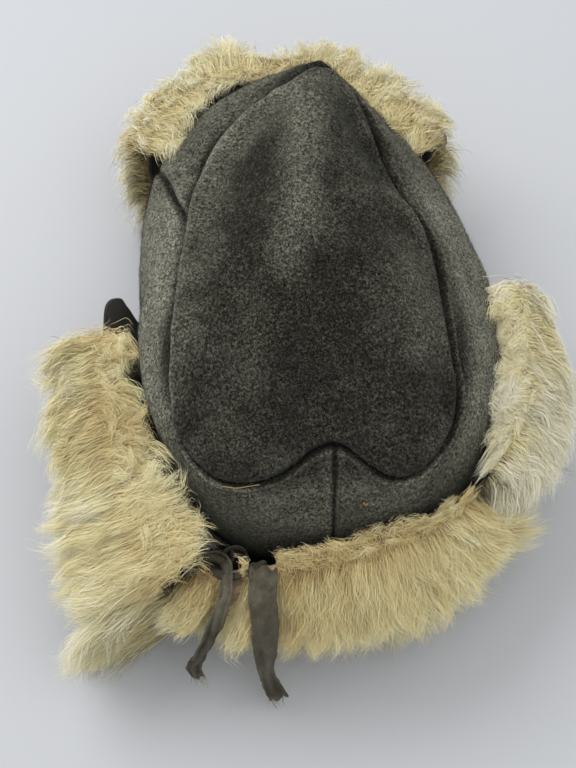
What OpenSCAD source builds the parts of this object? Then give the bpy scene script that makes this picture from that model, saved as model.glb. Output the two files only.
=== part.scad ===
// Trapper hat: wool crown with a lining, four fold-up fur flaps and a pair of tie tapes.
// +Y is the front of the hat, +X its right side, +Z up. The hem of the crown is the plane z = 0.

/* [Crown] */
// Half width of the hem on the left of the centre line
hem_half_w_left = 76; // [72:1:82]
// Half width of the hem on the right of the centre line
hem_half_w_right = 84; // [80:1:90]
// Half length of the hem, centre to front and centre to back
hem_half_l = 115; // [110:1:122]
// How far the side walls bulge past the straight line from hem to top seam
wall_bulge = 8; // [5:0.5:9]
// Height of the top seam above the hem
seam_h = 102; // [92:1:112]
// Rise of the top panel from its seam to its middle
dome_rise = 23; // [16:1:28]
// Half width of the top panel at its seam, half way along
seam_half_w = 56; // [51:1:60]
// Half length of the top panel at its seam
seam_half_l = 109; // [104:1:112]

/* [Layers] */
// Thickness of the outer wool cloth
wool_t = 2.5; // [2:0.1:3]
// Thickness of the wadding between wool and lining
wadding_t = 4; // [3:0.5:5]
// Thickness of the lining cloth
lining_t = 1; // [0.8:0.1:1.4]
// Height of the sweatband inside the hem
sweatband_h = 30; // [24:1:36]
// Thickness of the sweatband
sweatband_t = 1.5; // [1:0.1:2]
// Height of the tape that binds the hem
binding_h = 2.5; // [2:0.1:3]

/* [Flaps] */
// Height of the left and right ear flaps, hem to upper edge
ear_flap_h = 68; // [60:1:74]
// Height of the neck flap
neck_flap_h = 66; // [58:1:72]
// Height of the front flap
front_flap_h = 66; // [58:1:72]
// Thickness of the flap cloth
flap_cloth_t = 1.6; // [1.2:0.1:2]
// Thickness of the pelt skin that carries the fur
pelt_t = 1.8; // [1.4:0.1:2.4]
// Depth of the fur on the left flap
fur_depth_left = 38; // [30:1:42]
// Depth of the fur on the right flap
fur_depth_right = 24; // [20:1:30]
// Depth of the fur on the neck flap
fur_depth_neck = 32; // [26:1:36]
// Depth of the fur on the front flap
fur_depth_front = 22; // [18:1:28]

/* [Ties] */
// Width of the tie tapes
tape_w = 12; // [10:0.5:13]
// Thickness of a tie tape with its lengthwise crease
tape_t = 2.4; // [1.6:0.2:3]

/* [Hidden] */

gap = 0.5;
squareness = 2.3;
egg_left = -0.15;
egg_right = 0.25;
egg_seam = 0.61;
bend_hem = 9;
bend_seam = -2.6;
wall_turn = 4.5;
rear_dip = 10;
rear_dip_half_w = 20;
rear_dip_x = 11;
rear_seam_drop = 7;
loop_steps = 40;
wall_steps = 5;
dome_steps = 4;
fur_overhang = 9;
flap_steps = 14;
hinge_clear = 4;
flap_floor = 1;

binding_out = 0.4;
wadding_off = wool_t + gap;
lining_off = wadding_off + wadding_t + gap;
sweatband_off = lining_off + lining_t + gap;
inner_off = sweatband_off + sweatband_t + gap;
wall_foot = binding_h + gap;

// ---- Plan outline and crown surface -------------------------------------------------------

// Signed power, for the superellipse outlines
function spow(v, e) = sign(v) * pow(abs(v), e);

// Value at the hem passing into value at the top seam, as the share grow goes from 0 to 1
function toward_seam(at_hem, at_seam, grow) = at_hem + (at_seam - at_hem) * grow;

// Plan outline: a superellipse, off outside its line, whose width changes from back to front
// and whose two ends are bent to the left.
// grow is 0 at the hem and 1 at the top seam.
function plan(th, grow, off) =
    let (
        x = spow(cos(th), 2 / squareness),
        y = spow(sin(th), 2 / squareness),
        hem_half_w = x < 0 ? hem_half_w_left : hem_half_w_right,
        egg = toward_seam(x < 0 ? egg_left : egg_right, egg_seam, grow),
        half_w = toward_seam(hem_half_w, seam_half_w, grow) * (1 - egg * y) + off,
        half_l = toward_seam(hem_half_l, seam_half_l, grow) + off,
        bend = toward_seam(bend_hem, bend_seam, grow)
    )
    [half_w * x - bend * y * y, half_l * y];

// How much of the back of the top seam is pulled forward beside the centre-back seam
function dip(th) = sin(th) < 0 ? exp(-pow((plan(th, 1, 0)[0] - rear_dip_x) / rear_dip_half_w, 2)) : 0;

// Height of the top seam: it drops towards the back
function seam_z(th) = seam_h - rear_seam_drop * pow(max(0, -sin(th)), 3);

// Wall point at height share u (0 hem, 1 top seam), off inside the outer surface
function wall_pt(th, u, off) =
    let (p = plan(th, pow(u, wall_turn), wall_bulge * sin(180 * min(1, u)) - off))
    [p[0], p[1] + rear_dip * dip(th) * pow(u, 4), seam_z(th) * u];

// Point of the dome at share v (0 seam, 1 middle), rim_off inside the seam and drop below the top
function dome_pt(th, v, rim_off, drop) =
    let (p = wall_pt(th, 1, rim_off), k = 1 - v)
    [p[0] * k, p[1] * k, p[2] + wool_t + gap + dome_rise * (1 - pow(k, 2.2))
        + (seam_h - seam_z(th)) * v * 0.8 - drop];

// ---- Closed solids from two facing grids of points -----------------------------------------

function flat2(grid) = [for (row = grid) each row];

// Faces are listed anticlockwise from outside, and polyhedron() takes them clockwise
function clockwise(faces) = [for (f = faces) [for (i = [len(f) - 1 : -1 : 0]) f[i]]];

// Solid between two open grids (rows of equal length): a panel with four closed edges
module panel_solid(outer, inner) {
    rows = len(outer);
    cols = len(outer[0]);
    half = rows * cols;
    quads = [for (i = [0 : rows - 2], j = [0 : cols - 2])
        [i * cols + j, i * cols + j + 1, (i + 1) * cols + j + 1, (i + 1) * cols + j]];
    skin_a = [for (q = quads) each [[q[0], q[1], q[2]], [q[0], q[2], q[3]]]];
    skin_b = [for (f = skin_a) [half + f[2], half + f[1], half + f[0]]];
    rim = concat(
        [for (j = [0 : cols - 2]) [j + 1, j]],
        [for (i = [0 : rows - 2]) [i * cols, (i + 1) * cols]],
        [for (j = [0 : cols - 2]) [(rows - 1) * cols + j, (rows - 1) * cols + j + 1]],
        [for (i = [0 : rows - 2]) [(i + 2) * cols - 1, (i + 1) * cols - 1]]);
    edges = [for (e = rim) each [[e[0], e[1], half + e[1]], [e[0], half + e[1], half + e[0]]]];
    polyhedron(concat(flat2(outer), flat2(inner)), clockwise(concat(skin_a, skin_b, edges)));
}

// Solid between two grids whose rows are closed loops: a band
module band_solid(outer, inner) {
    rows = len(outer);
    cols = len(outer[0]);
    half = rows * cols;
    skin_a = [for (i = [0 : rows - 2], j = [0 : cols - 1])
        let (a = i * cols + j, b = i * cols + (j + 1) % cols)
        each [[a, b, b + cols], [a, b + cols, a + cols]]];
    skin_b = [for (f = skin_a) [half + f[2], half + f[1], half + f[0]]];
    last = (rows - 1) * cols;
    edges = [for (j = [0 : cols - 1])
        let (k = (j + 1) % cols)
        each [[k, j, half + j], [k, half + j, half + k],
            [last + j, last + k, half + last + k], [last + j, half + last + k, half + last + j]]];
    polyhedron(concat(flat2(outer), flat2(inner)), clockwise(concat(skin_a, skin_b, edges)));
}

// Solid between two domes of closed loops, each shut by a point in the middle
module cap_solid(outer, inner) {
    rows = len(outer);
    cols = len(outer[0]);
    half = rows * cols;
    last = (rows - 1) * cols;
    mid_a = [0, 0, outer[rows - 1][0][2]];
    mid_b = [0, 0, inner[rows - 1][0][2]];
    skin_a = [for (i = [0 : rows - 2], j = [0 : cols - 1])
        let (a = i * cols + j, b = i * cols + (j + 1) % cols)
        each [[a, b, b + cols], [a, b + cols, a + cols]]];
    fan_a = [for (j = [0 : cols - 1]) [last + j, last + (j + 1) % cols, 2 * half]];
    fan_b = [for (j = [0 : cols - 1]) [half + last + (j + 1) % cols, half + last + j, 2 * half + 1]];
    skin_b = [for (f = skin_a) [half + f[2], half + f[1], half + f[0]]];
    edges = [for (j = [0 : cols - 1])
        let (k = (j + 1) % cols)
        each [[k, j, half + j], [k, half + j, half + k]]];
    points = concat(flat2(outer), flat2(inner), [mid_a], [mid_b]);
    polyhedron(points, clockwise(concat(skin_a, skin_b, fan_a, fan_b, edges)));
}

// Every wall layer has its rows of points at the same heights, so that the layers nest.
// A layer that stops lower is cut along the straight line between two rows.
foot_u = wall_foot / seam_h;
function level(i) = foot_u + (1 - foot_u) * i / wall_steps;
function wall_cut(th, u, off) =
    let (
        i = min(wall_steps - 1, floor((u - foot_u) / (1 - foot_u) * wall_steps)),
        a = wall_pt(th, level(i), off),
        b = wall_pt(th, level(i + 1), off)
    )
    a + (b - a) * (u - level(i)) / (level(i + 1) - level(i));

// Band around the whole crown between two depths, from the hem to height share u_high
module wall_band(off_a, off_b, u_high) {
    rows = concat([for (i = [0 : wall_steps]) if (level(i) < u_high - 0.02) level(i)], [u_high]);
    function loop(off) = [for (u = rows)
        [for (j = [0 : loop_steps - 1]) wall_cut(j * 360 / loop_steps, u, off)]];
    band_solid(loop(off_a), loop(off_b));
}

// Half band from angle th_a to th_b, standing on the hem binding
module wall_half(th_a, th_b) {
    half_steps = loop_steps / 2;
    function sheet(off) = [for (i = [0 : wall_steps])
        [for (j = [0 : half_steps]) wall_pt(th_a + (th_b - th_a) * j / half_steps, level(i), off)]];
    panel_solid(sheet(0), sheet(wool_t));
}

// Dome between two depths below the outer top surface
module dome_cap(rim_off, drop, thick) {
    function loops(d) = [for (i = [0 : dome_steps])
        [for (j = [0 : loop_steps - 1])
            dome_pt(j * 360 / loop_steps, 0.92 * i / dome_steps, rim_off, d)]];
    cap_solid(loops(drop), loops(drop + thick));
}

// ---- Crown ---------------------------------------------------------------------------------

seam_split = 0.15;

module crown_top_panel() {
    color("#4b4a42") dome_cap(0, 0, wool_t);
}

module crown_side_left() {
    color("#55554b") wall_half(90 + seam_split, 270 - seam_split);
}

module crown_side_right() {
    color("#515147") wall_half(-90 + seam_split, 90 - seam_split);
}

module top_wadding() {
    color("#d8d2c0") dome_cap(wadding_off + wadding_t + gap, wool_t + gap, wadding_t);
}

// The wadding and the lining of the walls stop under the lining of the dome
lining_top = 1 - (lining_off + lining_t + gap - wool_t) / seam_h;

module side_wadding() {
    color("#d0cab8") wall_band(wadding_off, wadding_off + wadding_t, lining_top);
}

module top_lining() {
    color("#5a4a38") dome_cap(lining_off + gap, lining_off, lining_t);
}

module side_lining() {
    color("#63523e") wall_band(lining_off, lining_off + lining_t, lining_top);
}

module sweatband() {
    color("#3a2c22") wall_band(sweatband_off, sweatband_off + sweatband_t, sweatband_h / seam_h);
}

module hem_binding() {
    function ring(off) = [for (j = [0 : 71]) plan(j * 5, 0, off)];
    color("#2c241d")
        linear_extrude(binding_h)
            difference() {
                polygon(ring(binding_out));
                polygon(ring(-inner_off));
            }
}

// ---- Flaps ---------------------------------------------------------------------------------

// A flap is a base line in plan with outward normals, which its layers follow.
// base = [x, y, normal_x, normal_y, lean]; a layer point lies t up the flap and d outward.
function flap_pt(base, t, d) =
    let (
        lean = base[4],
        out = t * sin(lean) + d * cos(lean),
        up = flap_floor + t * cos(lean) - d * sin(lean)
    )
    [base[0] + base[2] * out, base[1] + base[3] * out, max(flap_floor, up)];

// Base point on the crown's own outline, hinge_clear outside the hem
function hem_base(th, lean) =
    let (
        p = plan(th, 0, hinge_clear),
        q = plan(th + 0.5, 0, hinge_clear),
        n = [q[1] - p[1], p[0] - q[0]] / norm(q - p)
    )
    [p[0], p[1], n[0], n[1], lean];

// Left flap's base: along the hem, then nearly straight back past the crown
function left_x(y) =
    -(hem_half_w_left + hinge_clear + left_stand_off)
        + left_turn_in * pow(max(0, left_turn_y - y) / (left_turn_y - left_rear_y), 2);
function left_base(s) =
    let (
        y = left_front_y + (left_rear_y - left_front_y) * s,
        n = [-1, left_x(y + 0.5) - left_x(y - 0.5)]
    )
    [left_x(y), y, n[0] / norm(n), n[1] / norm(n), left_lean];

// Lean of the neck flap: its left end stands well off the crown, where the ties pass
function neck_lean(th) = neck_lean_right
    + (neck_lean_left - neck_lean_right) * pow(1 - (th - neck_from) / (neck_to - neck_from), 2.5);

// Thin layer of a flap between heights t_low and t_high, d_in to d_in + t_in deep
module flap_layer(bases, t_low, t_high, d_in, t_in) {
    function sheet(d) = [for (t = [t_low, (t_low + t_high) / 2, t_high]) [for (b = bases) flap_pt(b, t, d)]];
    panel_solid(sheet(d_in + t_in), sheet(d_in));
}

// Fur of a flap: deepest in the middle, thinner towards the edges and the fold
fur_rows = [0, 0.12, 0.3, 0.55, 0.8, 0.94, 1];
fur_swell = [0.78, 0.9, 1, 1, 0.86, 0.62, 0.3];

module flap_fur(bases, h, depth) {
    d_in = flap_cloth_t + pelt_t + 2 * gap;
    cols = len(bases);
    function end_share(j) = 0.4 + 0.6 * pow(sin(180 * (j + 0.35) / (cols - 0.3)), 0.5);
    function tall(i) = fur_rows[i] * (h + fur_overhang);
    outer = [for (i = [0 : len(fur_rows) - 1])
        [for (j = [0 : cols - 1]) flap_pt(bases[j], tall(i), d_in + depth * fur_swell[i] * end_share(j))]];
    inner = [for (i = [0 : len(fur_rows) - 1]) [for (b = bases) flap_pt(b, tall(i), d_in)]];
    panel_solid(outer, inner);
}

left_front_y = 14;
left_turn_y = -30;
left_rear_y = -136;
left_turn_in = 30;
left_stand_off = 3;
front_lean = 8;
left_lean = 12;
right_lean = 9;
neck_lean_left = 28;
neck_lean_right = 12;
neck_from = 250;
neck_to = 307;

function steps(a, b) = [for (j = [0 : flap_steps]) a + (b - a) * j / flap_steps];
front_bases = [for (th = steps(38, 142)) hem_base(th, front_lean)];
right_bases = [for (th = steps(-43, 6)) hem_base(th, right_lean)];
neck_bases = [for (th = steps(neck_from, neck_to)) hem_base(th, neck_lean(th))];
left_bases = [for (s = steps(0, 1)) left_base(s)];
pelt_off = flap_cloth_t + gap;

module front_flap_cloth() {
    color("#3b3a33") flap_layer(front_bases, 0, front_flap_h, 0, flap_cloth_t);
}

module front_flap_pelt() {
    color("#b08a5c") flap_layer(front_bases, 0, front_flap_h, pelt_off, pelt_t);
}

module front_flap_fur() {
    color("#d8bf8a") flap_fur(front_bases, front_flap_h, fur_depth_front);
}

module left_flap_cloth() {
    color("#2e2a24") flap_layer(left_bases, 0, ear_flap_h, 0, flap_cloth_t);
}

module left_flap_pelt() {
    color("#b08a5c") flap_layer(left_bases, 0, ear_flap_h, pelt_off, pelt_t);
}

module left_flap_fur() {
    color("#dcc592") flap_fur(left_bases, ear_flap_h, fur_depth_left);
}

module right_flap_cloth() {
    color("#2e2a24") flap_layer(right_bases, 0, ear_flap_h, 0, flap_cloth_t);
}

module right_flap_pelt() {
    color("#b08a5c") flap_layer(right_bases, 0, ear_flap_h, pelt_off, pelt_t);
}

module right_flap_fur() {
    color("#d8bf8a") flap_fur(right_bases, ear_flap_h, fur_depth_right);
}

module neck_flap_cloth() {
    color("#2e2a24") flap_layer(neck_bases, 0, neck_flap_h, 0, flap_cloth_t);
}

module neck_flap_pelt() {
    color("#b08a5c") flap_layer(neck_bases, 0, neck_flap_h, pelt_off, pelt_t);
}

module neck_flap_fur() {
    color("#d4b981") flap_fur(neck_bases, neck_flap_h, fur_depth_neck);
}

// ---- Ties ----------------------------------------------------------------------------------

// Each tie is a flat tape. Its route runs from where it leaves its sewn tab to its frayed end.
left_route = [[-54, -133, 50], [-48, -131, 53], [-42, -132, 57], [-38, -137, 63], [-37, -144, 69],
    [-38, -152, 72], [-41, -160, 70], [-44, -166, 63], [-47, -170, 54], [-50, -172, 44],
    [-53, -173, 35], [-54, -175, 26], [-51, -178, 18]];
right_route = [[-22, -133, 52], [-22, -136, 61], [-21, -140, 70], [-21, -147, 76], [-21, -155, 77],
    [-20, -163, 73], [-20, -169, 65], [-20, -173, 54], [-20, -175, 43], [-20, -177, 32],
    [-18, -180, 22], [-14, -185, 12]];
tape_sides = 8;
tab_low = 42;
tab_high = 56;
tab_t = 1.6;
left_turn_steps = 4;

// The left tape leaves its tab on edge and turns flat; the right one is flat all the way
function left_width(i) = let (k = min(1, i / left_turn_steps)) [k, 0, 1 - k];
function right_width(i) = [1, 0, 0];

// Flat tube along a route: an oval section tape_w wide and tape_t thick
module tape(route, widths) {
    count = len(route);
    function along(i) =
        let (v = route[min(count - 1, i + 1)] - route[max(0, i - 1)]) v / norm(v);
    function wide(i) = let (a = along(i), v = widths[i] - a * (widths[i] * a)) v / norm(v);
    function thin(i) = cross(along(i), wide(i));
    rings = [for (i = [0 : count - 1])
        [for (k = [0 : tape_sides - 1])
            let (a = (k + 0.5) * 360 / tape_sides)
            route[i] + wide(i) * tape_w / 2 * cos(a) + thin(i) * tape_t / 2 * sin(a)]];
    last = (count - 1) * tape_sides;
    sides = [for (i = [0 : count - 2], k = [0 : tape_sides - 1])
        let (a = i * tape_sides + k, b = i * tape_sides + (k + 1) % tape_sides)
        each [[a, b, b + tape_sides], [a, b + tape_sides, a + tape_sides]]];
    ends = [[for (k = [tape_sides - 1 : -1 : 0]) k], [for (k = [0 : tape_sides - 1]) last + k]];
    polyhedron(flat2(rings), clockwise(concat(sides, ends)));
}

// Sewn end of a tie: a folded patch on the cloth side of its flap
module tie_tab(bases) {
    flap_layer(bases, tab_low, tab_high, -gap - tab_t, tab_t);
}

module left_tie_tab() {
    color("#6a6759") tie_tab([for (s = [0.915, 0.95, 0.985]) left_base(s)]);
}

module right_tie_tab() {
    color("#6a6759") tie_tab([for (th = [257.5, 261, 264.5]) hem_base(th, neck_lean(th))]);
}

module left_tie() {
    color("#6f6c5e") tape(left_route, [for (i = [0 : len(left_route) - 1]) left_width(i)]);
}

module right_tie() {
    color("#6f6c5e") tape(right_route, [for (i = [0 : len(right_route) - 1]) right_width(i)]);
}

knot_at = [-38.5, -126.5, 44.5];
knot_r = 3.2;
knot_cord_r = 3;

module tie_knot() {
    color("#34322b")
        translate(knot_at)
            rotate([20, 0, 0])
                rotate_extrude()
                    translate([knot_r, 0])
                        circle(r = knot_cord_r);
}

crown_top_panel();
crown_side_left();
crown_side_right();
top_wadding();
side_wadding();
top_lining();
side_lining();
sweatband();
hem_binding();
front_flap_cloth();
front_flap_pelt();
front_flap_fur();
left_flap_cloth();
left_flap_pelt();
left_flap_fur();
right_flap_cloth();
right_flap_pelt();
right_flap_fur();
neck_flap_cloth();
neck_flap_pelt();
neck_flap_fur();
left_tie_tab();
right_tie_tab();
left_tie();
right_tie();
tie_knot();
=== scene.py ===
import math

import bpy
import numpy as np
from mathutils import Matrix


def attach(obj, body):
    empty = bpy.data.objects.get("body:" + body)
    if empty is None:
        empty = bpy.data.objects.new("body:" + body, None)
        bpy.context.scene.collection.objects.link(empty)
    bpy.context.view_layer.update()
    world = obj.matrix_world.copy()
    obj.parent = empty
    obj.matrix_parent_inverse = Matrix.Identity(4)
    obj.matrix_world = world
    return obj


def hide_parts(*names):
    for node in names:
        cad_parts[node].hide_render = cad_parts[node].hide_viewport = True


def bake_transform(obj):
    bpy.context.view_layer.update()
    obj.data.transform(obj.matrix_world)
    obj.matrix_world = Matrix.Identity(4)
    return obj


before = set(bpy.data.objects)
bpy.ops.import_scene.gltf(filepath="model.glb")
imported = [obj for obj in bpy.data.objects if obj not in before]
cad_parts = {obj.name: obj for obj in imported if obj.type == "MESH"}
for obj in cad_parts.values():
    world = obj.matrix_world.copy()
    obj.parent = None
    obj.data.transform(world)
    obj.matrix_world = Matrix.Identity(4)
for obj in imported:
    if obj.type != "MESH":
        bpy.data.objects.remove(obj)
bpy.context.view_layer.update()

# Lengths are in millimetres until a mesh is made, as in the CAD part.
MM = 0.001
HEM_W_LEFT, HEM_W_RIGHT, HEM_L = 76.0, 84.0, 115.0
WALL_BULGE, SEAM_H, DOME_RISE = 8.0, 102.0, 23.0
SEAM_W, SEAM_L = 56.0, 109.0
WOOL_T, WADDING_T, LINING_T, GAP = 2.5, 4.0, 1.0, 0.5
SWEATBAND_H, SWEATBAND_T, BINDING_H, BINDING_OUT = 30.0, 1.5, 2.5, 0.4
EAR_H, NECK_H, FRONT_H = 68.0, 66.0, 66.0
CLOTH_T, PELT_T = 1.6, 1.8
SQUARENESS, EGG_LEFT, EGG_RIGHT, EGG_SEAM = 2.3, -0.15, 0.25, 0.61
BEND_HEM, BEND_SEAM, WALL_TURN = 9.0, -2.6, 4.5
REAR_DIP, REAR_DIP_W, REAR_DIP_X, REAR_DROP = 10.0, 20.0, 11.0, 7.0
HINGE_CLEAR, FLOOR_Z, TAPE_W, TAPE_T = 4.0, 1.0, 12.0, 0.9
WADDING_OFF = WOOL_T + GAP
LINING_OFF = WADDING_OFF + WADDING_T + GAP
SWEATBAND_OFF = LINING_OFF + LINING_T + GAP
INNER_OFF = SWEATBAND_OFF + SWEATBAND_T + GAP


# ---- Noise ---------------------------------------------------------------------------------

def lattice(ix, iy, iz, seed):
    h = (ix * 374761393 + iy * 668265263 + iz * 1440662683 + seed * 974634777) & 0xFFFFFFFF
    h = ((h ^ (h >> 13)) * 1274126177) & 0xFFFFFFFF
    return ((h ^ (h >> 16)) & 0xFFFF) / 32767.5 - 1


def noise(points, size, seed=0, octaves=1):
    """Smooth noise in -1..1 at the points, with features of the given size."""
    points = np.asarray(points, float)
    total, weight, share = 0.0, 0.0, 1.0
    for octave in range(octaves):
        q = points / size * 2 ** octave + 57.3 * octave
        cell = np.floor(q).astype(np.int64)
        f = q - cell
        f = f * f * (3 - 2 * f)
        value = 0.0
        for dx in (0, 1):
            for dy in (0, 1):
                for dz in (0, 1):
                    w = (f[..., 0] if dx else 1 - f[..., 0]) * (f[..., 1] if dy else 1 - f[..., 1])
                    w = w * (f[..., 2] if dz else 1 - f[..., 2])
                    value = value + w * lattice(cell[..., 0] + dx, cell[..., 1] + dy,
                                                cell[..., 2] + dz, seed + octave)
        total, weight, share = total + share * value, weight + share, share * 0.5
    return total / weight


def window(x, low, high, soft):
    """1 between low and high, falling to 0 over soft outside them."""
    rise = np.clip((x - low) / soft + 1, 0, 1)
    fall = np.clip((high - x) / soft + 1, 0, 1)
    rise, fall = rise * rise * (3 - 2 * rise), fall * fall * (3 - 2 * fall)
    return rise * fall


def bell(x, centre, width):
    return np.exp(-((x - centre) / width) ** 2)


def unit(v):
    return v / np.maximum(np.linalg.norm(v, axis=-1, keepdims=True), 1e-9)


# ---- Mesh making ---------------------------------------------------------------------------

def make_object(name, verts, quads, tris=(), materials=(), slots=None):
    mesh = bpy.data.meshes.new(name)
    verts = np.asarray(verts, float).reshape(-1, 3) * MM
    quads = np.asarray(quads, np.int32).reshape(-1, 4)
    tris = np.asarray(tris, np.int32).reshape(-1, 3)
    mesh.vertices.add(len(verts))
    mesh.vertices.foreach_set("co", verts.astype(np.float32).ravel())
    mesh.loops.add(quads.size + tris.size)
    mesh.loops.foreach_set("vertex_index", np.concatenate([quads.ravel(), tris.ravel()]))
    mesh.polygons.add(len(quads) + len(tris))
    starts = np.concatenate([np.arange(len(quads)) * 4, quads.size + np.arange(len(tris)) * 3])
    mesh.polygons.foreach_set("loop_start", starts.astype(np.int32))
    if slots is not None:
        mesh.polygons.foreach_set("material_index", np.asarray(slots, np.int32))
    mesh.polygons.foreach_set("use_smooth", np.full(len(mesh.polygons), True))
    mesh.update(calc_edges=True)
    for m in materials:
        mesh.materials.append(m)
    obj = bpy.data.objects.new(name, mesh)
    bpy.context.scene.collection.objects.link(obj)
    return obj


def wear_on(obj, body, node=None):
    """Put a piece on its body, and in the place of a CAD node."""
    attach(obj, body)
    if node:
        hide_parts(node)
    return obj


def grid_quads(rows, cols, closed=False):
    i, j = np.meshgrid(np.arange(rows - 1), np.arange(cols if closed else cols - 1), indexing="ij")
    k = (j + 1) % cols
    quads = np.stack([i * cols + j, i * cols + k, (i + 1) * cols + k, (i + 1) * cols + j], -1)
    return quads.reshape(-1, 4)


def grid_normals(p, closed):
    """Unit normals of a grid of points (rows, cols, 3), outward for rows up and columns anticlockwise."""
    dr = np.gradient(p, axis=0)
    if closed:
        dc = (np.roll(p, -1, 1) - np.roll(p, 1, 1)) / 2
    else:
        dc = np.gradient(p, axis=1)
    return unit(np.cross(dc, dr))


def shell(name, outer, inner, materials):
    """Closed shell between an outer and an inner grid that share their column count."""
    rows, cols = outer.shape[:2]
    loop = np.concatenate([outer, inner[::-1]])
    total = len(loop)
    i = np.arange(cols - 1)
    last = (total - 1) * cols
    closing = np.stack([last + i, last + i + 1, i + 1, i], -1)
    n = min(len(outer), len(inner))
    a = np.round(np.linspace(0, rows - 1, n)).astype(int)
    b = total - 1 - np.round(np.linspace(0, len(inner) - 1, n)).astype(int)
    ends, tris = [], []
    for col, turn in ((0, 1), (cols - 1, -1)):
        for m in range(n - 1):
            q = [a[m] * cols + col, a[m + 1] * cols + col, b[m + 1] * cols + col, b[m] * cols + col]
            ends.append(q[::turn])
            fan = [r * cols + col for r in range(a[m], a[m + 1] + 1)]
            tris += [[fan[0], y, x][::turn] for x, y in zip(fan[1:-1], fan[2:])]
    quads = np.concatenate([grid_quads(total, cols), closing, np.array(ends)])
    return make_object(name, loop, quads, tris, materials)


def capped(name, outer, inner, materials):
    """Closed shell between two rings of a panel that run in to its middle."""
    rows, cols = len(outer) + len(inner), outer.shape[1]
    loop = np.concatenate([inner[::-1], outer])
    j = np.arange(cols)
    k = (j + 1) % cols
    last = (rows - 1) * cols
    tris = np.concatenate([np.stack([k, j, np.full(cols, rows * cols)], -1),
                           np.stack([last + j, last + k, np.full(cols, rows * cols + 1)], -1)])
    verts = np.vstack([loop.reshape(-1, 3), loop[0].mean(0), loop[-1].mean(0)])
    return make_object(name, verts, grid_quads(rows, cols, True), tris, materials)


def ribbons(paths, widths, across):
    """Vertices and quads of flat strands: paths (n, k, 3), widths (n, k), across (n, k, 3)."""
    n, k = paths.shape[:2]
    half = across * widths[..., None] / 2
    verts = np.stack([paths - half, paths + half], 2).reshape(-1, 3)
    s, i = np.meshgrid(np.arange(n), np.arange(k - 1), indexing="ij")
    a = (s * k + i) * 2
    quads = np.stack([a, a + 2, a + 3, a + 1], -1).reshape(-1, 4)
    return verts, quads


def smooth_route(points, count):
    """Catmull-Rom curve through the points, at even spacing."""
    p = np.asarray(points, float)
    ext = np.vstack([2 * p[0] - p[1], p, 2 * p[-1] - p[-2]])
    fine = []
    for i in range(len(p) - 1):
        t = np.linspace(0, 1, 12, endpoint=False)[:, None]
        a, b, c, d = ext[i:i + 4]
        fine.append(0.5 * (2 * b + (c - a) * t + (2 * a - 5 * b + 4 * c - d) * t ** 2
                           + (3 * b - a - 3 * c + d) * t ** 3))
    fine = np.vstack(fine + [p[-1:]])
    run = np.concatenate([[0], np.cumsum(np.linalg.norm(np.diff(fine, axis=0), axis=1))])
    at = np.linspace(0, run[-1], count)
    return np.stack([np.interp(at, run, fine[:, c]) for c in range(3)], -1), run[-1]


# ---- Materials -----------------------------------------------------------------------------

class Nodes:
    """Short names for building a material's node tree."""

    def __init__(self, name):
        self.mat = bpy.data.materials.new(name)
        self.mat.use_nodes = True
        self.tree = self.mat.node_tree
        self.bsdf = self.tree.nodes["Principled BSDF"]
        coords = self.tree.nodes.new("ShaderNodeTexCoord")
        self.coord = coords.outputs["Object"]

    def add(self, kind, **values):
        node = self.tree.nodes.new(kind)
        for key, value in values.items():
            if key in node.inputs:
                node.inputs[key].default_value = value
            else:
                setattr(node, key, value)
        return node

    def put(self, socket, value):
        """Join a socket to another one, or set its value."""
        if isinstance(value, bpy.types.NodeSocket):
            self.tree.links.new(value, socket)
        elif isinstance(value, tuple):
            socket.default_value = (*value, 1.0)
        else:
            socket.default_value = value

    def stretch(self, scale, turn=(0, 0, 0)):
        m = self.add("ShaderNodeMapping")
        m.inputs["Scale"].default_value = scale
        m.inputs["Rotation"].default_value = turn
        self.put(m.inputs["Vector"], self.coord)
        return m.outputs["Vector"]

    def noise(self, size_mm, detail=2.0, rough=0.5, vector=None, distort=0.0):
        n = self.add("ShaderNodeTexNoise", Scale=1000.0 / size_mm, Detail=detail, Roughness=rough,
                     Distortion=distort)
        self.put(n.inputs["Vector"], vector or self.coord)
        return n.outputs["Fac"]

    def ramp(self, fac, stops):
        r = self.add("ShaderNodeValToRGB")
        self.put(r.inputs["Fac"], fac)
        e = r.color_ramp.elements
        while len(e) < len(stops):
            e.new(0.5)
        for slot, (pos, col) in zip(e, stops):
            slot.position = pos
            slot.color = (*col, 1.0) if isinstance(col, tuple) else (col, col, col, 1.0)
        return r.outputs["Color"]

    def mix(self, fac, a, b):
        m = self.add("ShaderNodeMix", data_type="RGBA", blend_type="MIX")
        self.put(m.inputs[0], fac)
        self.put(m.inputs[6], a)
        self.put(m.inputs[7], b)
        return m.outputs[2]

    def math(self, op, a, b=0.0):
        m = self.add("ShaderNodeMath", operation=op)
        self.put(m.inputs[0], a)
        self.put(m.inputs[1], b)
        return m.outputs[0]

    def attribute(self, name):
        a = self.add("ShaderNodeAttribute")
        a.attribute_name = name
        return a.outputs["Fac"]

    def bump(self, height, distance_mm, strength=1.0):
        b = self.add("ShaderNodeBump", Strength=strength, Distance=distance_mm * MM)
        self.put(b.inputs["Height"], height)
        self.put(self.bsdf.inputs["Normal"], b.outputs["Normal"])

    def set(self, **values):
        names = {"base": "Base Color", "rough": "Roughness", "sheen": "Sheen Weight",
                 "sheen_rough": "Sheen Roughness", "sheen_tint": "Sheen Tint", "spec": "Specular IOR Level"}
        for key, value in values.items():
            self.put(self.bsdf.inputs[names[key]], value)
        return self.mat


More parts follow.
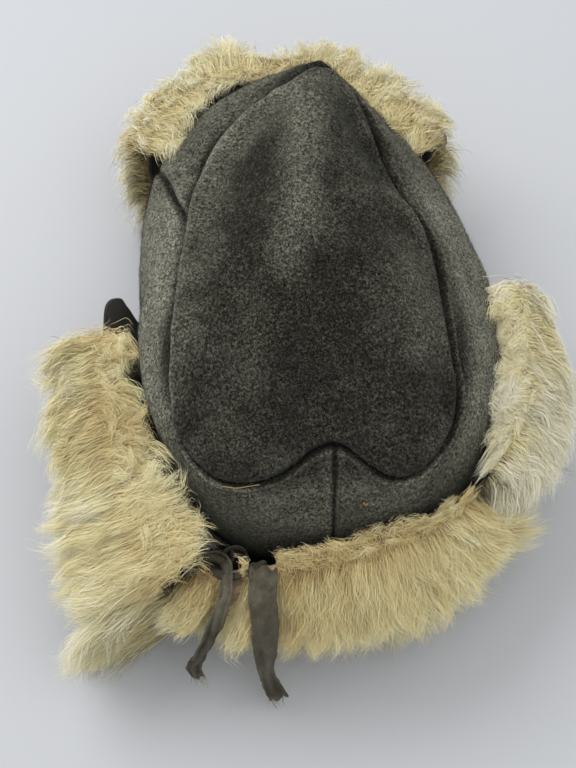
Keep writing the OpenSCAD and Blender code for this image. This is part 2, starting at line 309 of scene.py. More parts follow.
def wool_material():
    n = Nodes("wool_cloth")
    speck = n.noise(1.25, 4.0, 0.85)
    fleck = n.noise(3.2, 2.0, 0.6, distort=0.6)
    patch = n.noise(26.0, 3.0, 0.55)
    dark = n.ramp(speck, [(0.42, (0.004, 0.0035, 0.0028)), (0.5, (0.020, 0.018, 0.013)),
                          (0.60, (0.120, 0.114, 0.084))])
    brown = n.mix(n.ramp(fleck, [(0.45, 0.0), (0.7, 0.5)]), dark, (0.036, 0.025, 0.016))
    mottled = n.mix(n.ramp(patch, [(0.35, 0.0), (0.7, 0.5)]), brown, (0.012, 0.011, 0.009))
    light = n.mix(n.ramp(speck, [(0.42, 0.12), (0.58, 1.0)]), mottled, (0.36, 0.355, 0.275))
    # Painted light and shade: the lightness attribute mixes in a pale grey where light falls on the wool and
    # a near black where shade falls in grooves and creases; it also holds some random tone.
    painted_light_and_tone = n.attribute("lightness")
    base = n.mix(n.math("MAXIMUM", painted_light_and_tone, 0.0), mottled, light)
    base = n.mix(n.math("MAXIMUM", n.math("MULTIPLY", painted_light_and_tone, -1.0), 0.0), base, (0.004, 0.004, 0.003))
    n.bump(n.math("ADD", speck, n.math("MULTIPLY", fleck, 0.6)), 0.5, 0.8)
    return n.set(base=base, rough=0.95, sheen=0.10, sheen_rough=0.5, sheen_tint=(0.75, 0.78, 0.62), spec=0.1)


def cloth_material(name, dark, light, thread_mm=0.5, sheen=0.2, wrinkle=0.0, patch_mm=14.0):
    """Plain-woven cloth: crossing threads, patchy tone."""
    n = Nodes(name)
    warp = n.add("ShaderNodeTexWave", Scale=1000 / thread_mm / 6.283 * 2, Distortion=1.2, Detail=1.0)
    warp.bands_direction = "Z"
    weft = n.add("ShaderNodeTexWave", Scale=1000 / thread_mm / 6.283 * 2, Distortion=1.2, Detail=1.0)
    weft.bands_direction = "DIAGONAL"
    n.put(warp.inputs["Vector"], n.coord)
    n.put(weft.inputs["Vector"], n.coord)
    weave = n.math("MULTIPLY", warp.outputs["Fac"], weft.outputs["Fac"])
    patch = n.noise(patch_mm, 4.0, 0.6)
    base = n.mix(n.ramp(patch, [(0.3, 0.0), (0.75, 1.0)]), dark, light)
    base = n.mix(n.math("MULTIPLY", weave, 0.35), base, tuple(min(1, c * 1.8) for c in light))
    n.bump(n.math("ADD", weave, n.math("MULTIPLY", patch, 2.0 + wrinkle)), 0.35, 0.7)
    return n.set(base=base, rough=0.9, sheen=sheen, sheen_rough=0.4, spec=0.2)


def twill_material(name, dark, light, sheen=0.25):
    n = Nodes(name)
    rib = n.add("ShaderNodeTexWave", Scale=1000 / 0.9 / 6.283 * 2, Distortion=0.8, Detail=1.0)
    rib.bands_direction = "DIAGONAL"
    n.put(rib.inputs["Vector"], n.coord)
    grain = n.noise(0.8, 2.0, 0.5, n.stretch((1, 1, 0.25)))
    lightness = n.noise(9.0, 4.0, 0.6)
    base = n.mix(n.ramp(lightness, [(0.3, 0.0), (0.72, 1.0)]), dark, light)
    base = n.mix(n.math("MULTIPLY", grain, 0.4), base, tuple(c * 0.45 for c in dark))
    n.bump(n.math("ADD", rib.outputs["Fac"], grain), 0.3, 0.6)
    return n.set(base=base, rough=0.8, sheen=sheen, sheen_rough=0.4, spec=0.25)


def suede_material():
    n = Nodes("pelt_skin")
    pores = n.noise(0.9, 3.0, 0.6)
    patch = n.noise(22.0, 4.0, 0.6)
    base = n.ramp(patch, [(0.3, (0.36, 0.22, 0.11)), (0.7, (0.52, 0.36, 0.20))])
    base = n.mix(n.math("MULTIPLY", pores, 0.4), base, (0.24, 0.14, 0.07))
    n.bump(pores, 0.4, 0.6)
    return n.set(base=base, rough=0.85, sheen=0.3, sheen_rough=0.4, spec=0.2)


def undercoat_material():
    n = Nodes("fur_undercoat")
    streak = n.noise(2.2, 4.0, 0.65, distort=0.8)
    tuft = n.noise(11.0, 3.0, 0.6, distort=0.5)
    base = n.ramp(streak, [(0.30, (0.22, 0.14, 0.065)), (0.5, (0.47, 0.345, 0.175)),
                           (0.7, (0.70, 0.58, 0.36))])
    base = n.mix(n.ramp(tuft, [(0.4, 0.55), (0.7, 0.0)]), base, (0.30, 0.20, 0.10))
    n.bump(n.math("ADD", streak, tuft), 2.5, 1.0)
    return n.set(base=base, rough=0.85, sheen=0.35, sheen_rough=0.4, sheen_tint=(1.0, 0.93, 0.75), spec=0.15)


def strand_material(name, colour, rough=0.5):
    n = Nodes(name)
    n.bsdf.inputs["Base Color"].default_value = (*colour, 1.0)
    n.bump(n.noise(0.6, 1.0, 0.5), 0.05, 0.4)
    glossy = n.ramp(n.noise(3.0, 2.0, 0.5), [(0.3, rough - 0.1), (0.7, rough + 0.15)])
    return n.set(rough=glossy, sheen=0.15, sheen_rough=0.35, spec=0.15)


def floor_material():
    n = Nodes("studio_paper")
    grain = n.noise(1.5, 3.0, 0.6)
    tone = n.noise(400.0, 1.0, 0.5)
    base = n.ramp(tone, [(0.3, (0.550, 0.560, 0.580)), (0.7, (0.580, 0.590, 0.610))])
    base = n.mix(n.math("MULTIPLY", grain, 0.05), base, (0.42, 0.42, 0.43))
    n.bump(grain, 0.05, 0.2)
    return n.set(base=base, rough=0.75, spec=0.2)


# ---- Camera, light and floor ---------------------------------------------------------------

scene = bpy.context.scene
scene.view_settings.view_transform = "Standard"

ELEV = math.radians(66.0)
TARGET = np.array([-10.0, -39.0, 45.0])
CAMERA_AWAY = 676.0
back = np.array([0.0, -math.cos(ELEV), math.sin(ELEV)])
cam_data = bpy.data.cameras.new("camera")
cam_data.lens = 65.0
cam_data.sensor_width = 36.0
cam_data.clip_start, cam_data.clip_end = 0.02, 20.0
camera = bpy.data.objects.new("camera", cam_data)
scene.collection.objects.link(camera)
camera.location = tuple((TARGET + back * CAMERA_AWAY) * MM)
camera.rotation_euler = (math.pi / 2 - ELEV, 0.0, 0.0)
scene.camera = camera


def area_light(name, place, aim, size, watts, colour):
    data = bpy.data.lights.new(name, "AREA")
    data.shape = "RECTANGLE"
    data.size, data.size_y = size
    data.energy = watts
    data.color = colour
    obj = bpy.data.objects.new(name, data)
    scene.collection.objects.link(obj)
    obj.location = place
    direction = np.array(aim) - np.array(place)
    yaw = math.atan2(direction[1], direction[0])
    pitch = math.atan2(-direction[2], math.hypot(direction[0], direction[1]))
    obj.rotation_euler = (math.pi / 2 - pitch, 0.0, yaw - math.pi / 2)
    return obj


area_light("key_softbox", (-0.80, 0.70, 1.25), (-0.05, -0.05, 0.05), (1.3, 1.3), 17.5, (1.0, 1.0, 1.0))
area_light("overhead_softbox", (0.45, -0.2, 1.5), (0.0, -0.03, 0.05), (1.4, 1.4), 8.0, (1.0, 0.985, 0.96))
world = bpy.data.worlds.new("studio")
world.use_nodes = True
world.node_tree.nodes["Background"].inputs["Color"].default_value = (0.93, 0.96, 1.0, 1.0)
world.node_tree.nodes["Background"].inputs["Strength"].default_value = 0.55
scene.world = world

g = np.linspace(-1500, 1500, 3)
fx, fy = np.meshgrid(g, g)
floor = make_object("studio_floor", np.stack([fx, fy, 0 * fx], -1), grid_quads(3, 3), (), [floor_material()])

wool = wool_material()
NAP_COLOURS = {"dark": (0.022, 0.020, 0.015), "brown": (0.060, 0.052, 0.038),
               "grey": (0.135, 0.128, 0.098), "light": (0.26, 0.255, 0.20)}
FUR_COLOURS = {"root_brown": (0.32, 0.212, 0.092), "root_tan": (0.47, 0.340, 0.150),
               "honey": (0.66, 0.520, 0.238), "sand": (0.745, 0.630, 0.335), "straw": (0.84, 0.755, 0.425),
               "cream": (0.895, 0.83, 0.555), "pale": (0.92, 0.88, 0.690)}
nap_mats = [strand_material("nap_" + name, colour, 0.9) for name, colour in NAP_COLOURS.items()]
fur_mats = [strand_material("fur_" + name, colour) for name, colour in FUR_COLOURS.items()]
tape_mat = twill_material("tie_tape", (0.058, 0.048, 0.031), (0.165, 0.148, 0.103), 0.08)
# A darker copy of the tape material as painted shade, for the knot, the cross loop and the tie tabs where
# they lie under the crown's back.
tape_painted_shade_mat = twill_material("tie_tape_shaded", (0.030, 0.025, 0.017), (0.085, 0.075, 0.052), 0.05)
thread_dark = strand_material("tape_thread", (0.20, 0.19, 0.13), 0.7)
thread_light = strand_material("tape_thread_light", (0.36, 0.35, 0.24), 0.7)


# ---- Ties ----------------------------------------------------------------------------------

LEFT_ROUTE = [[-54, -133, 50], [-48, -131, 53], [-42, -132, 57], [-38, -137, 63], [-37, -144, 69],
              [-37, -151, 72], [-39, -158, 71], [-42, -164, 66], [-45, -168, 58], [-48, -171, 49],
              [-51, -173, 40], [-53, -175, 33], [-51, -178, 27]]
RIGHT_ROUTE = [[-22, -133, 52], [-22, -136, 61], [-21, -140, 70], [-21, -147, 76], [-21, -155, 77],
               [-20, -163, 73], [-20, -169, 65], [-20, -173, 54], [-20, -175, 43], [-20, -177, 32],
               [-18, -180, 22], [-14, -185, 12]]


def tape(name, route, hints, half_widths, seed, material, frayed=True, crease=0.9):
    """Flat tape with lengthwise creases and perhaps a frayed end. Returns tape, fringe, path and length."""
    path, length = smooth_route(route, 90)
    hints = np.asarray(hints, float)
    at = np.linspace(0, len(route) - 1, len(path))
    wide_hint = np.stack([np.interp(at, np.arange(len(route)), hints[:, c]) for c in range(3)], -1)
    tangent = unit(np.gradient(path, axis=0))
    wide = unit(wide_hint - tangent * np.sum(wide_hint * tangent, -1, keepdims=True))
    thin = np.cross(tangent, wide)
    run = np.linspace(0, 1, len(path))
    half = np.interp(run, np.linspace(0, 1, len(half_widths)), half_widths)
    cols = 25
    q = np.linspace(-1, 1, cols)
    r, c = np.meshgrid(run * length, q, indexing="ij")
    ripple = noise(np.stack([r * 0.35, c * 3.0, 0 * r], -1), 2.0, seed, 2)
    fold = crease * (np.cos(c * 5.2 + 0.9 * np.sin(r * 0.09 + seed)) + 1.1 * ripple)
    edge = 0.35 * noise(np.stack([r, np.sign(c) * 3, 0 * r], -1), 2.0, seed + 5) * np.abs(c) ** 6
    mid = (path[:, None] + wide[:, None] * (half[:, None, None] * c[..., None] + edge[..., None])
           + thin[:, None] * fold[..., None])
    n = grid_normals(mid, False)
    tape_mats = [material, thread_dark, thread_light]
    obj = shell(name, mid + n * TAPE_T / 2, mid - n * TAPE_T / 2, tape_mats)
    fringe = None
    if frayed:
        rng = np.random.default_rng(seed)
        count = 46
        col = rng.integers(0, cols, count)
        start = mid[-1, col] - tangent[-1] * rng.uniform(0.5, 4.0, (count, 1))
        steps = np.linspace(0, 1, 5)
        reach = rng.uniform(2.5, 6.0, count)
        spread = rng.normal(0, 0.35, (count, 3))
        paths = start[:, None] + (tangent[-1] + spread)[:, None] * (reach[:, None] * steps)[..., None]
        paths = paths + rng.normal(0, 0.25, paths.shape) * steps[:, None]
        across = np.broadcast_to(unit(rng.normal(0, 1, (count, 1, 3))), paths.shape)
        paths[..., 2] = np.maximum(paths[..., 2], 0.4)
        verts, quads = ribbons(paths, np.broadcast_to(0.38 * (1 - 0.5 * steps), (count, 5)), across)
        slots = np.repeat(rng.integers(1, 3, count), 4)
        fringe = make_object(name + "_fringe", verts, quads, (), tape_mats, slots)
    return obj, fringe, path, length


left_hints = [[min(0.75, i / 5), 0.25, 1 - min(0.55, i / 7)] for i in range(len(LEFT_ROUTE))]
left_tie = tape("left_tie_tape", LEFT_ROUTE, left_hints, [5.4, 4.6, 3.9, 3.3, 3.1, 3.5, 3.0], 11, tape_mat)
right_hints = [[1, 0, 0]] * 8 + [[0.9, 0.3, 0.3], [0.6, 0.6, 0.6], [0.55, 0.6, 0.7], [0.9, 0.3, 0.3]]
right_half_widths = [6, 6, 6.1, 5.9, 5.3, 4.2, 3.4, 4.6]
right_tie = tape("right_tie_tape", RIGHT_ROUTE, right_hints, right_half_widths, 23, tape_mat)

KNOT = np.array([-38.5, -126.5, 44.5])
a = np.linspace(0, 2 * math.pi, 40)
lobe = 3.6 + 2.2 * np.cos(3 * a)
lobes = np.stack([lobe * np.cos(2 * a) * 1.5, lobe * np.sin(2 * a), 2.6 * np.sin(3 * a)], -1) + KNOT
knot = tape("tie_knot_wrap", lobes, [[0.2, 0.1, 1.0]] * 40, [3.4, 3.8, 3.4], 31, tape_painted_shade_mat, False, 0.5)[0]
wear_on(knot, "neck_flap", "tie_knot")
LOOP_ROUTE = [[-49, -131, 52], [-44, -137, 60], [-36, -141, 65], [-28, -139, 66], [-23, -134, 60]]
LOOP_HALF_WIDTHS = [4.6, 5.0, 5.2, 5.0, 4.4]
bar = tape("tie_cross_loop", LOOP_ROUTE, [[0, -0.5, 1]] * 5, LOOP_HALF_WIDTHS, 37, tape_painted_shade_mat, False)[0]
wear_on(bar, "neck_flap")
for node, made, others in (("left_tie", left_tie, [knot, bar]), ("right_tie", right_tie, [])):
    tie, fringe, path, length = made
    wear_on(tie, "neck_flap", node)
    wear_on(fringe, "neck_flap")


# ---- Crown ---------------------------------------------------------------------------------

def spow(v, e):
    return np.sign(v) * np.abs(v) ** e


def plan(th, grow, off):
    x, y = spow(np.cos(th), 2 / SQUARENESS), spow(np.sin(th), 2 / SQUARENESS)
    hem_w = np.where(x < 0, HEM_W_LEFT, HEM_W_RIGHT)
    egg_hem = np.where(x < 0, EGG_LEFT, EGG_RIGHT)
    egg = egg_hem + (EGG_SEAM - egg_hem) * grow
    half_w = (hem_w + (SEAM_W - hem_w) * grow) * (1 - egg * y) + off
    half_l = HEM_L + (SEAM_L - HEM_L) * grow + off
    return half_w * x - (BEND_HEM + (BEND_SEAM - BEND_HEM) * grow) * y * y, half_l * y


def seam_z(th):
    return SEAM_H - REAR_DROP * np.maximum(0, -np.sin(th)) ** 3


def wall_pt(th, u, off=0.0):
    th, u = np.broadcast_arrays(np.asarray(th, float), np.asarray(u, float))
    x, y = plan(th, u ** WALL_TURN, WALL_BULGE * np.sin(math.pi * np.minimum(1, u)) - off)
    rim_x = plan(th, 1.0, 0.0)[0]
    dip = np.where(np.sin(th) < 0, np.exp(-((rim_x - REAR_DIP_X) / REAR_DIP_W) ** 2), 0)
    return np.stack([x, y + REAR_DIP * dip * u ** 4, seam_z(th) * u], -1)


def dome_pt(th, v, rim_off=0.0, drop=0.0):
    th, v = np.broadcast_arrays(np.asarray(th, float), np.asarray(v, float))
    p = wall_pt(th, np.ones_like(v), rim_off)
    k = 1 - v
    z = (p[..., 2] + WOOL_T + GAP + DOME_RISE * (1 - k ** 2.2) + (SEAM_H - seam_z(th)) * v * 0.8 - drop)
    return np.stack([p[..., 0] * k, p[..., 1] * k, z], -1)


def near_line(points, *line):
    """Distance from each point to a polyline, and the share of the way along it."""
    line = np.asarray(line, float)
    best = np.full(points.shape[:-1], 1e9)
    share = np.zeros(points.shape[:-1])
    run = np.concatenate([[0], np.cumsum(np.linalg.norm(np.diff(line, axis=0), axis=1))])
    for i in range(len(line) - 1):
        d = line[i + 1] - line[i]
        t = np.clip(((points - line[i]) @ d) / (d @ d), 0, 1)
        dist = np.linalg.norm(points - line[i] - t[..., None] * d, axis=-1)
        closer = dist < best
        best = np.where(closer, dist, best)
        share = np.where(closer, (run[i] + t * (run[i + 1] - run[i])) / run[-1], share)
    return best, share


DEG = math.pi / 180
BACK_TH, FRONT_TH = 274 * DEG, 90 * DEG

# How far the top seam lies inward of the rim (mm, minus is down the side), by angle round the crown
SEAM_AT = [(0, -2), (4, -2), (12, 1), (19, 2), (29, -1), (40, -3), (50, -5), (62, -9), (75, 0), (90, 5),
           (104, 9), (118, 4), (128, -2), (140, -8), (155, -9), (168, -8), (178, -3), (191, 4), (208, 6),
           (220, 1), (228, -6), (240, -10), (251, -7), (261, 0), (268, 5), (273, 9), (278, 4), (287, -5),
           (294, -9), (304, -5), (314, -3), (322, -1), (328, 3), (334, 6), (342, 6), (350, 3), (360, -2)]


def seam_at(th):
    turn = np.mod(th, 2 * math.pi) / DEG
    at, shift = np.array(SEAM_AT, float).T
    total = 0.0
    for step in (-4, -2, 0, 2, 4):
        total = total + np.interp(np.mod(turn + step, 360), at, shift)
    circle = np.stack([60 * np.cos(th), 60 * np.sin(th), 0 * th], -1)
    return total / 5 + 0.7 * noise(circle, 9.0, 15, 2)


def crown_pt(th, a):
    """Point of the crown at signed distance a inward of the rim: down the side when a is negative."""
    th, a = np.broadcast_arrays(np.asarray(th, float), np.asarray(a, float))
    wall = wall_pt(th, np.clip(1 + a / SEAM_H, 0, 1))
    rim = dome_pt(th, 0 * a)
    v = np.clip(a / np.hypot(rim[..., 0], rim[..., 1]), 0, 0.985)
    dome = dome_pt(th, v)
    dome[..., 2] -= (WOOL_T + GAP) * bell(a, 0, 14)
    return np.where((a < 0)[..., None], wall, dome)


# Ridges (plus) and hollows (minus) in the soft crown: line, height, width
FOLDS = [
    ([(-2, 88, 112), (-4, 61, 121), (-4, 36, 125), (-4, 10, 128), (-7, -12, 127)], 2.2, 10.0),
    ([(20, 78, 107), (27, 62, 108), (34, 44, 109)], -3.6, 9.0),
    ([(14, 20, 125), (34, 27, 113), (47, 19, 104), (57, 6, 100)], 2.4, 6.0),
    ([(22, 6, 125), (44, 0, 114)], -1.6, 8.0),
    ([(46, -15, 116), (46, -50, 116)], 1.4, 10.0),
    ([(24, -30, 121), (26, -62, 117)], -1.6, 12.0),
    ([(-20, 62, 117), (-27, 20, 121), (-26, -40, 121), (-20, -74, 112)], -1.6, 12.0),
    ([(-50, 40, 97), (-53, 10, 104), (-53, -30, 108), (-52, -62, 106)], 1.4, 6.0),
    ([(50, -92, 97), (33, -97, 98), (14, -86, 104)], 1.8, 6.0),
    ([(-50, -90, 97), (-28, -98, 98), (2, -86, 104)], 1.8, 6.0),
    ([(-74, -6, 81), (-77, -24, 74), (-74, -47, 78), (-70, -68, 81), (-66, -82, 79)], 4.4, 9.0),
    ([(-60, 60, 85), (-62, 52, 84)], -3.0, 7.0),
    ([(-72, 70, 68), (-74, 58, 66)], 2.6, 8.0),
    ([(-45, 84, 90), (-30, 95, 93), (-12, 104, 96)], -2.2, 7.0),
    ([(74, 10, 84), (78, -12, 80), (74, -40, 84)], -1.6, 6.0),
    ([(84, 14, 66), (88, -14, 62), (86, -44, 66)], 1.6, 8.0),
    ([(30, 98, 80), (50, 74, 84), (62, 46, 84)], -1.4, 7.0),
    ([(-20, -116, 66), (20, -117, 64), (50, -108, 64)], 1.2, 12.0),
]


def soft_shape(p):
    """Displacement of the soft crown at points of its surface."""
    d = 0.9 * noise(p, 34.0, 3, 2) + 0.3 * noise(p, 9.0, 4, 2)
    for line, height, width in FOLDS:
        dist, share = near_line(p, *line)
        ends = 0.35 + 0.65 * np.sin(math.pi * np.clip(share, 0.02, 0.98)) ** 0.5
        d = d + height * bell(dist, 0, width) * ends
    return d


def left_fold(th):
    """Where the top panel's left edge rolls over the side and hides the seam."""
    return window(np.mod(th, 2 * math.pi) / DEG, 128, 216, 16)


def side_surface(th, a):
    """Outer surface of a side with its seams and folds: points, lightness (painted light and shade, with some
    random tone), normals and broad shape.
    """
    p = crown_pt(th, a)
    n = grid_normals(p, False)
    below = seam_at(th) - a
    fold = left_fold(th)
    height = 1 + a / SEAM_H
    foot = window(height, 0.06, 2, 0.05)
    broad = (soft_shape(p) - 6.0 * fold * bell(below, 2.2, 2.8)
             - 2.0 * fold * bell(below, 4, 7.0)) * foot
    groove = -3.4 * bell(below, 0, 1.1)
    welt = 1.5 * bell(below, 2.8, 1.5)
    seam_stitch = -0.7 * bell(below, 5.2, 0.7) * (0.75 + 0.25 * np.sin(th * 330))
    d = (groove + welt + seam_stitch) * (1 - fold)
    crease = near_line(p, (-75, 78, 56), (-71, 58, 74), (-66, 41, 84), (-60, 24, 93))[0]
    inner = near_line(p, (-70, 74, 62), (-66, 58, 79), (-62, 42, 88))[0]
    d = d - 4.5 * bell(crease, 0, 1.7) + 2.2 * bell(inner, 0, 4.0)
    back_seam = np.abs(p[..., 0] - 10.5) + 40 * (p[..., 1] > 0)
    d = d - 1.5 * bell(back_seam, 0, 0.8) + 0.5 * bell(back_seam, 2.4, 1.3)
    valley = near_line(p, (74, 10, 84), (78, -12, 80), (74, -40, 84))[0]
    lens = near_line(p, (-77, -2, 79), (-80, -24, 73), (-77, -47, 76), (-72, -70, 79))[0]
    front = window(p[..., 1], 60, 200, 25)
    back = window(p[..., 1], -200, -92, 22)
    # Painted light: a pale stripe along the welt, and paler walls between hem and seam where light grazes the
    # wool, less on the front and back. The noise is random tone.
    lightness = 0.30 * bell(below, 3.4, 1.6) * (1 - fold) + 1.0 * window(height, 0.25, 0.88, 0.12)
    lightness = lightness * (1 - 0.5 * front) * (1 - 0.35 * back) + 0.30 * noise(p, 16, 9, 2)
    # Painted shadow under the rolled top edge, and a painted highlight on the bulging lens of the left side.
    lightness = lightness - 1.7 * fold * bell(below, 2.2, 2.8) + 0.4 * bell(lens, 0, 6.0)
    # Painted shade in the valley, the crease and the seam groove, and along the back seam, with a thin
    # painted highlight beside it.
    lightness = lightness - 0.25 * bell(valley, 0, 5)
    lightness = lightness - 1.3 * bell(crease, 0, 1.6) - 1.6 * bell(below, 0, 1.1)
    lightness = lightness - 0.8 * bell(back_seam, 0, 0.9) + 0.15 * bell(back_seam, 2.8, 1.4)
    return p + n * (broad + d * foot)[..., None], np.clip(lightness, -1, 1), n, broad


# Painted light (plus) along the top panel's ridges and painted shade (minus) along its hollows: amount,
# width, line
TOP_PAINTED_LIGHT_AND_SHADE = [
    (0.36, 10, [(-2, 88, 112), (-4, 61, 121), (-4, 36, 125), (-4, 10, 128), (-10, -16, 127)]),
    (0.26, 10, [(46, -15, 116), (48, -50, 114)]),
    (0.22, 5, [(14, 20, 125), (34, 27, 113), (47, 19, 104), (57, 6, 100)]),
    (-0.14, 26, [(10, -20, 126), (12, -60, 116)]),
    (-0.16, 11, [(-26, 55, 118), (-32, 10, 120)]),
    (-0.24, 9, [(20, 78, 107), (27, 62, 108), (34, 44, 109)]),
]


def top_surface(th, a):
    """Outer surface of the top with its turned edge and dents: points, lightness (painted light and shade,
    with some random tone), normals and broad shape.
    """
    p = crown_pt(th, a)
    n = grid_normals(p, True)
    rim = a - seam_at(th)
    fold = left_fold(th)
    broad = soft_shape(p)
    d = -3.4 * bell(rim, 0, 1.1) * (1 - 0.5 * fold)
    d = d + 1.4 * bell(rim, 4.0, 2.8) + fold * 2.6 * bell(rim, 2.5, 4.5)
    front = window(p[..., 1], 70, 200, 25)
    rear = window(p[..., 1], -200, -70, 25)
    # Painted highlight on the rolled left edge of the top.
    lightness = 0.60 * bell(rim, 1, 2.6) * fold + 0.25 * fold * bell(rim, 0, 12)
    for amount, width, line in TOP_PAINTED_LIGHT_AND_SHADE:
        lightness = lightness + amount * bell(near_line(p, *line)[0], 0, width)
    # Paler towards the front and darker towards the rear as painted light falling from the front; the noise
    # is random tone.
    lightness = lightness + 0.18 * front - 0.06 * rear + 0.26 * noise(p, 14, 8, 2) + 0.10
    # Painted shade in the seam groove round the top.
    lightness = lightness - 1.6 * bell(rim, 0, 1.1) * (1 - fold)
    return p + n * (broad + d)[..., None], np.clip(lightness, -1, 1), n, broad


def set_values(obj, name, values):
    attribute = obj.data.attributes.new(name, "FLOAT", "POINT")
    full = np.zeros(len(obj.data.vertices), np.float32)
    full[:values.size] = values.ravel()
    attribute.data.foreach_set("value", full)


def wool_nap(name, surface, lightness, closed, seed):
    """Short fibres that lie on the wool and blur its outline."""
    rng = np.random.default_rng(seed)
    count = 46000
    cols = surface.shape[1]
    step_r = np.linalg.norm(np.diff(surface, axis=0), axis=-1)
    step_c = np.linalg.norm(np.roll(surface, -1, 1) - surface, axis=-1)
    last = cols if closed else cols - 1
    area = (step_r * step_c[:-1])[:, :last].ravel()
    cell = rng.choice(area.size, count, p=area / area.sum())
    i, j = cell // last, cell % last
    k = (j + 1) % cols
    fi, fj = rng.uniform(0, 1, (2, count, 1))
    root = (surface[i, j] * (1 - fi) * (1 - fj) + surface[i + 1, j] * fi * (1 - fj)
            + surface[i, k] * (1 - fi) * fj + surface[i + 1, k] * fi * fj)
    a, b = unit(surface[i + 1, j] - surface[i, j]), unit(surface[i, k] - surface[i, j])
    n = unit(np.cross(b, a))
    turn = rng.uniform(0, 2 * math.pi, (count, 1))
    lay = a * np.cos(turn) + b * np.sin(turn)
    length = rng.gamma(6.0, 0.36, (count, 1))
    rise = rng.uniform(0.04, 0.40, (count, 1))
    curl = rng.normal(0, 0.45, (count, 1))
    side = np.cross(n, lay)
    t = np.array([0, 0.5, 1.0])[None, :, None]
    reach = (lay * length)[:, None] * t + (n * rise * length)[:, None] * np.sin(t * 1.9)
    reach = reach + (side * curl * length)[:, None] * t ** 2 - 0.1 * n[:, None]
    # Fibres are kept short in the painted-dark grooves.
    paths = root[:, None] + reach * np.where(lightness[i, j] < -0.35, 0.3, 1.0)[:, None, None]
    paths[..., 2] = np.maximum(paths[..., 2], 0.4)
    widths = np.broadcast_to(np.array([0.09, 0.09, 0.04]), (count, 3)) * rng.uniform(0.7, 1.3, (count, 1))
    across = np.broadcast_to(unit(-side + 0.5 * n * rng.normal(0, 1, (count, 1)))[:, None], paths.shape)
    verts, quads = ribbons(paths, widths, across)
    # Each fibre's shade follows the painted light and shade of the wool under it, with random tone.
    light = lightness[i, j] + rng.normal(0, 0.42, count) + 0.14
    shade = np.digitize(light, [0.12, 0.42, 0.75])
    obj = make_object(name, verts, quads, (), nap_mats, np.repeat(shade, 2))
    normals = np.repeat(n + 0.35 * rng.normal(0, 1, n.shape), 6, axis=0)
    obj.data.normals_split_custom_set_from_vertices(unit(normals).astype(np.float32))
    return wear_on(obj, "crown")


def under_layers(part, names, outer, plain, n, broad, make):
    """Wadding and lining under a panel's wool, each a gap further in and following its broad dents."""
    deep = [plain - n * depth + n * broad[..., None] for depth in (WADDING_IN, LINING_OUT, LINING_IN)]
    pad = make(names[0], outer - n * (WOOL_T + GAP), deep[0], [wadding_mat])
    wear_on(pad, "crown", part + "_wadding")
    wear_on(make(names[1], deep[1], deep[2], [lining_mat]), "crown", part + "_lining")


crown_grids = []
WADDING_IN = WOOL_T + WADDING_T + GAP
LINING_OUT = WADDING_IN + GAP
LINING_IN = LINING_OUT + LINING_T
lining_mat = cloth_material("lining_cloth", (0.085, 0.060, 0.036), (0.150, 0.110, 0.070), 0.6)
wadding_mat = cloth_material("wadding", (0.55, 0.50, 0.40), (0.72, 0.68, 0.58), 1.2, 0.3)
lowest = -SEAM_H * (1 - (BINDING_H + GAP) / SEAM_H)
BACK_LEAN, SIDES_APART, TOP_APART, TURN_IN = 4.6 * DEG, 0.0008, 0.15, WOOL_T - 0.3
share = np.concatenate([np.linspace(0, 0.86, 50, endpoint=False), np.linspace(0.86, 1, 44)])
for name in ("left", "right"):
    run = np.linspace(0, 1, 330)
    back_th = BACK_TH + BACK_LEAN * (1 - share[:, None] ** WALL_TURN)
    if name == "left":
        tt = FRONT_TH + (back_th - FRONT_TH) * run - SIDES_APART * run
    else:
        tt = back_th - 2 * math.pi + (FRONT_TH - back_th + 2 * math.pi) * run + SIDES_APART * (1 - run)
    aa = lowest + (seam_at(tt) - TOP_APART - lowest) * share[:, None]
    outer, lightness, n, broad = side_surface(tt, aa)
    pick = np.round(np.linspace(0, len(share) - 1, 30)).astype(int)
    obj = shell(f"crown_side_{name}_wool", outer, (outer - n * TURN_IN)[pick], [wool])
    set_values(wear_on(obj, "crown", "crown_side_" + name), "lightness", lightness)
    wool_nap("crown_nap_" + name, outer, lightness, False, 60 + len(name))
    crown_grids.append(outer)
    under_layers("side", ("side_wadding_" + name, "side_lining_" + name),
                 *(v[pick[:-4]][:, ::3] for v in (outer, crown_pt(tt, aa), n, broad)), shell)

th = np.linspace(0, 2 * math.pi, 640, endpoint=False)
share = np.concatenate([np.linspace(0, 0.2, 34, endpoint=False), np.linspace(0.2, 0.97, 50)])
start = seam_at(th) + TOP_APART
rim_pt = dome_pt(th, 0 * th)
aa = start + (np.hypot(rim_pt[:, 0], rim_pt[:, 1]) - start) * share[:, None]
tt = np.broadcast_to(th, aa.shape)
outer, lightness, n, broad = top_surface(tt, aa)
pick = np.round(np.linspace(0, len(share) - 1, 24)).astype(int)
edge_at = seam_at(th) + np.array([[-1.0], [-TOP_APART]])
side_edge, _, side_n, _ = side_surface(np.broadcast_to(th, (2, 640)), edge_at)
turned = (side_edge - side_n * 0.7)[1:]
inner = np.concatenate([turned - side_n[1:] * 1.8, (outer - n * TURN_IN)[pick]])
top = capped("crown_top_wool", np.concatenate([turned, outer]), inner, [wool])
inner_lightness = np.zeros(inner[..., 0].size)
# Painted shade on the turned-under row at the seam.
set_values(top, "lightness", np.concatenate([inner_lightness, -0.9 + 0 * th, lightness.ravel(), [0, lightness[-1].mean()]]))
wear_on(top, "crown", "crown_top_panel")
wool_nap("crown_nap_top", outer, lightness, True, 71)
crown_grids.append(outer)
under_layers("top", ("top_wadding_pad", "top_lining_cloth"),
             *(v[pick[5:]][:, ::4] for v in (outer, crown_pt(tt, aa), n, broad)), capped)


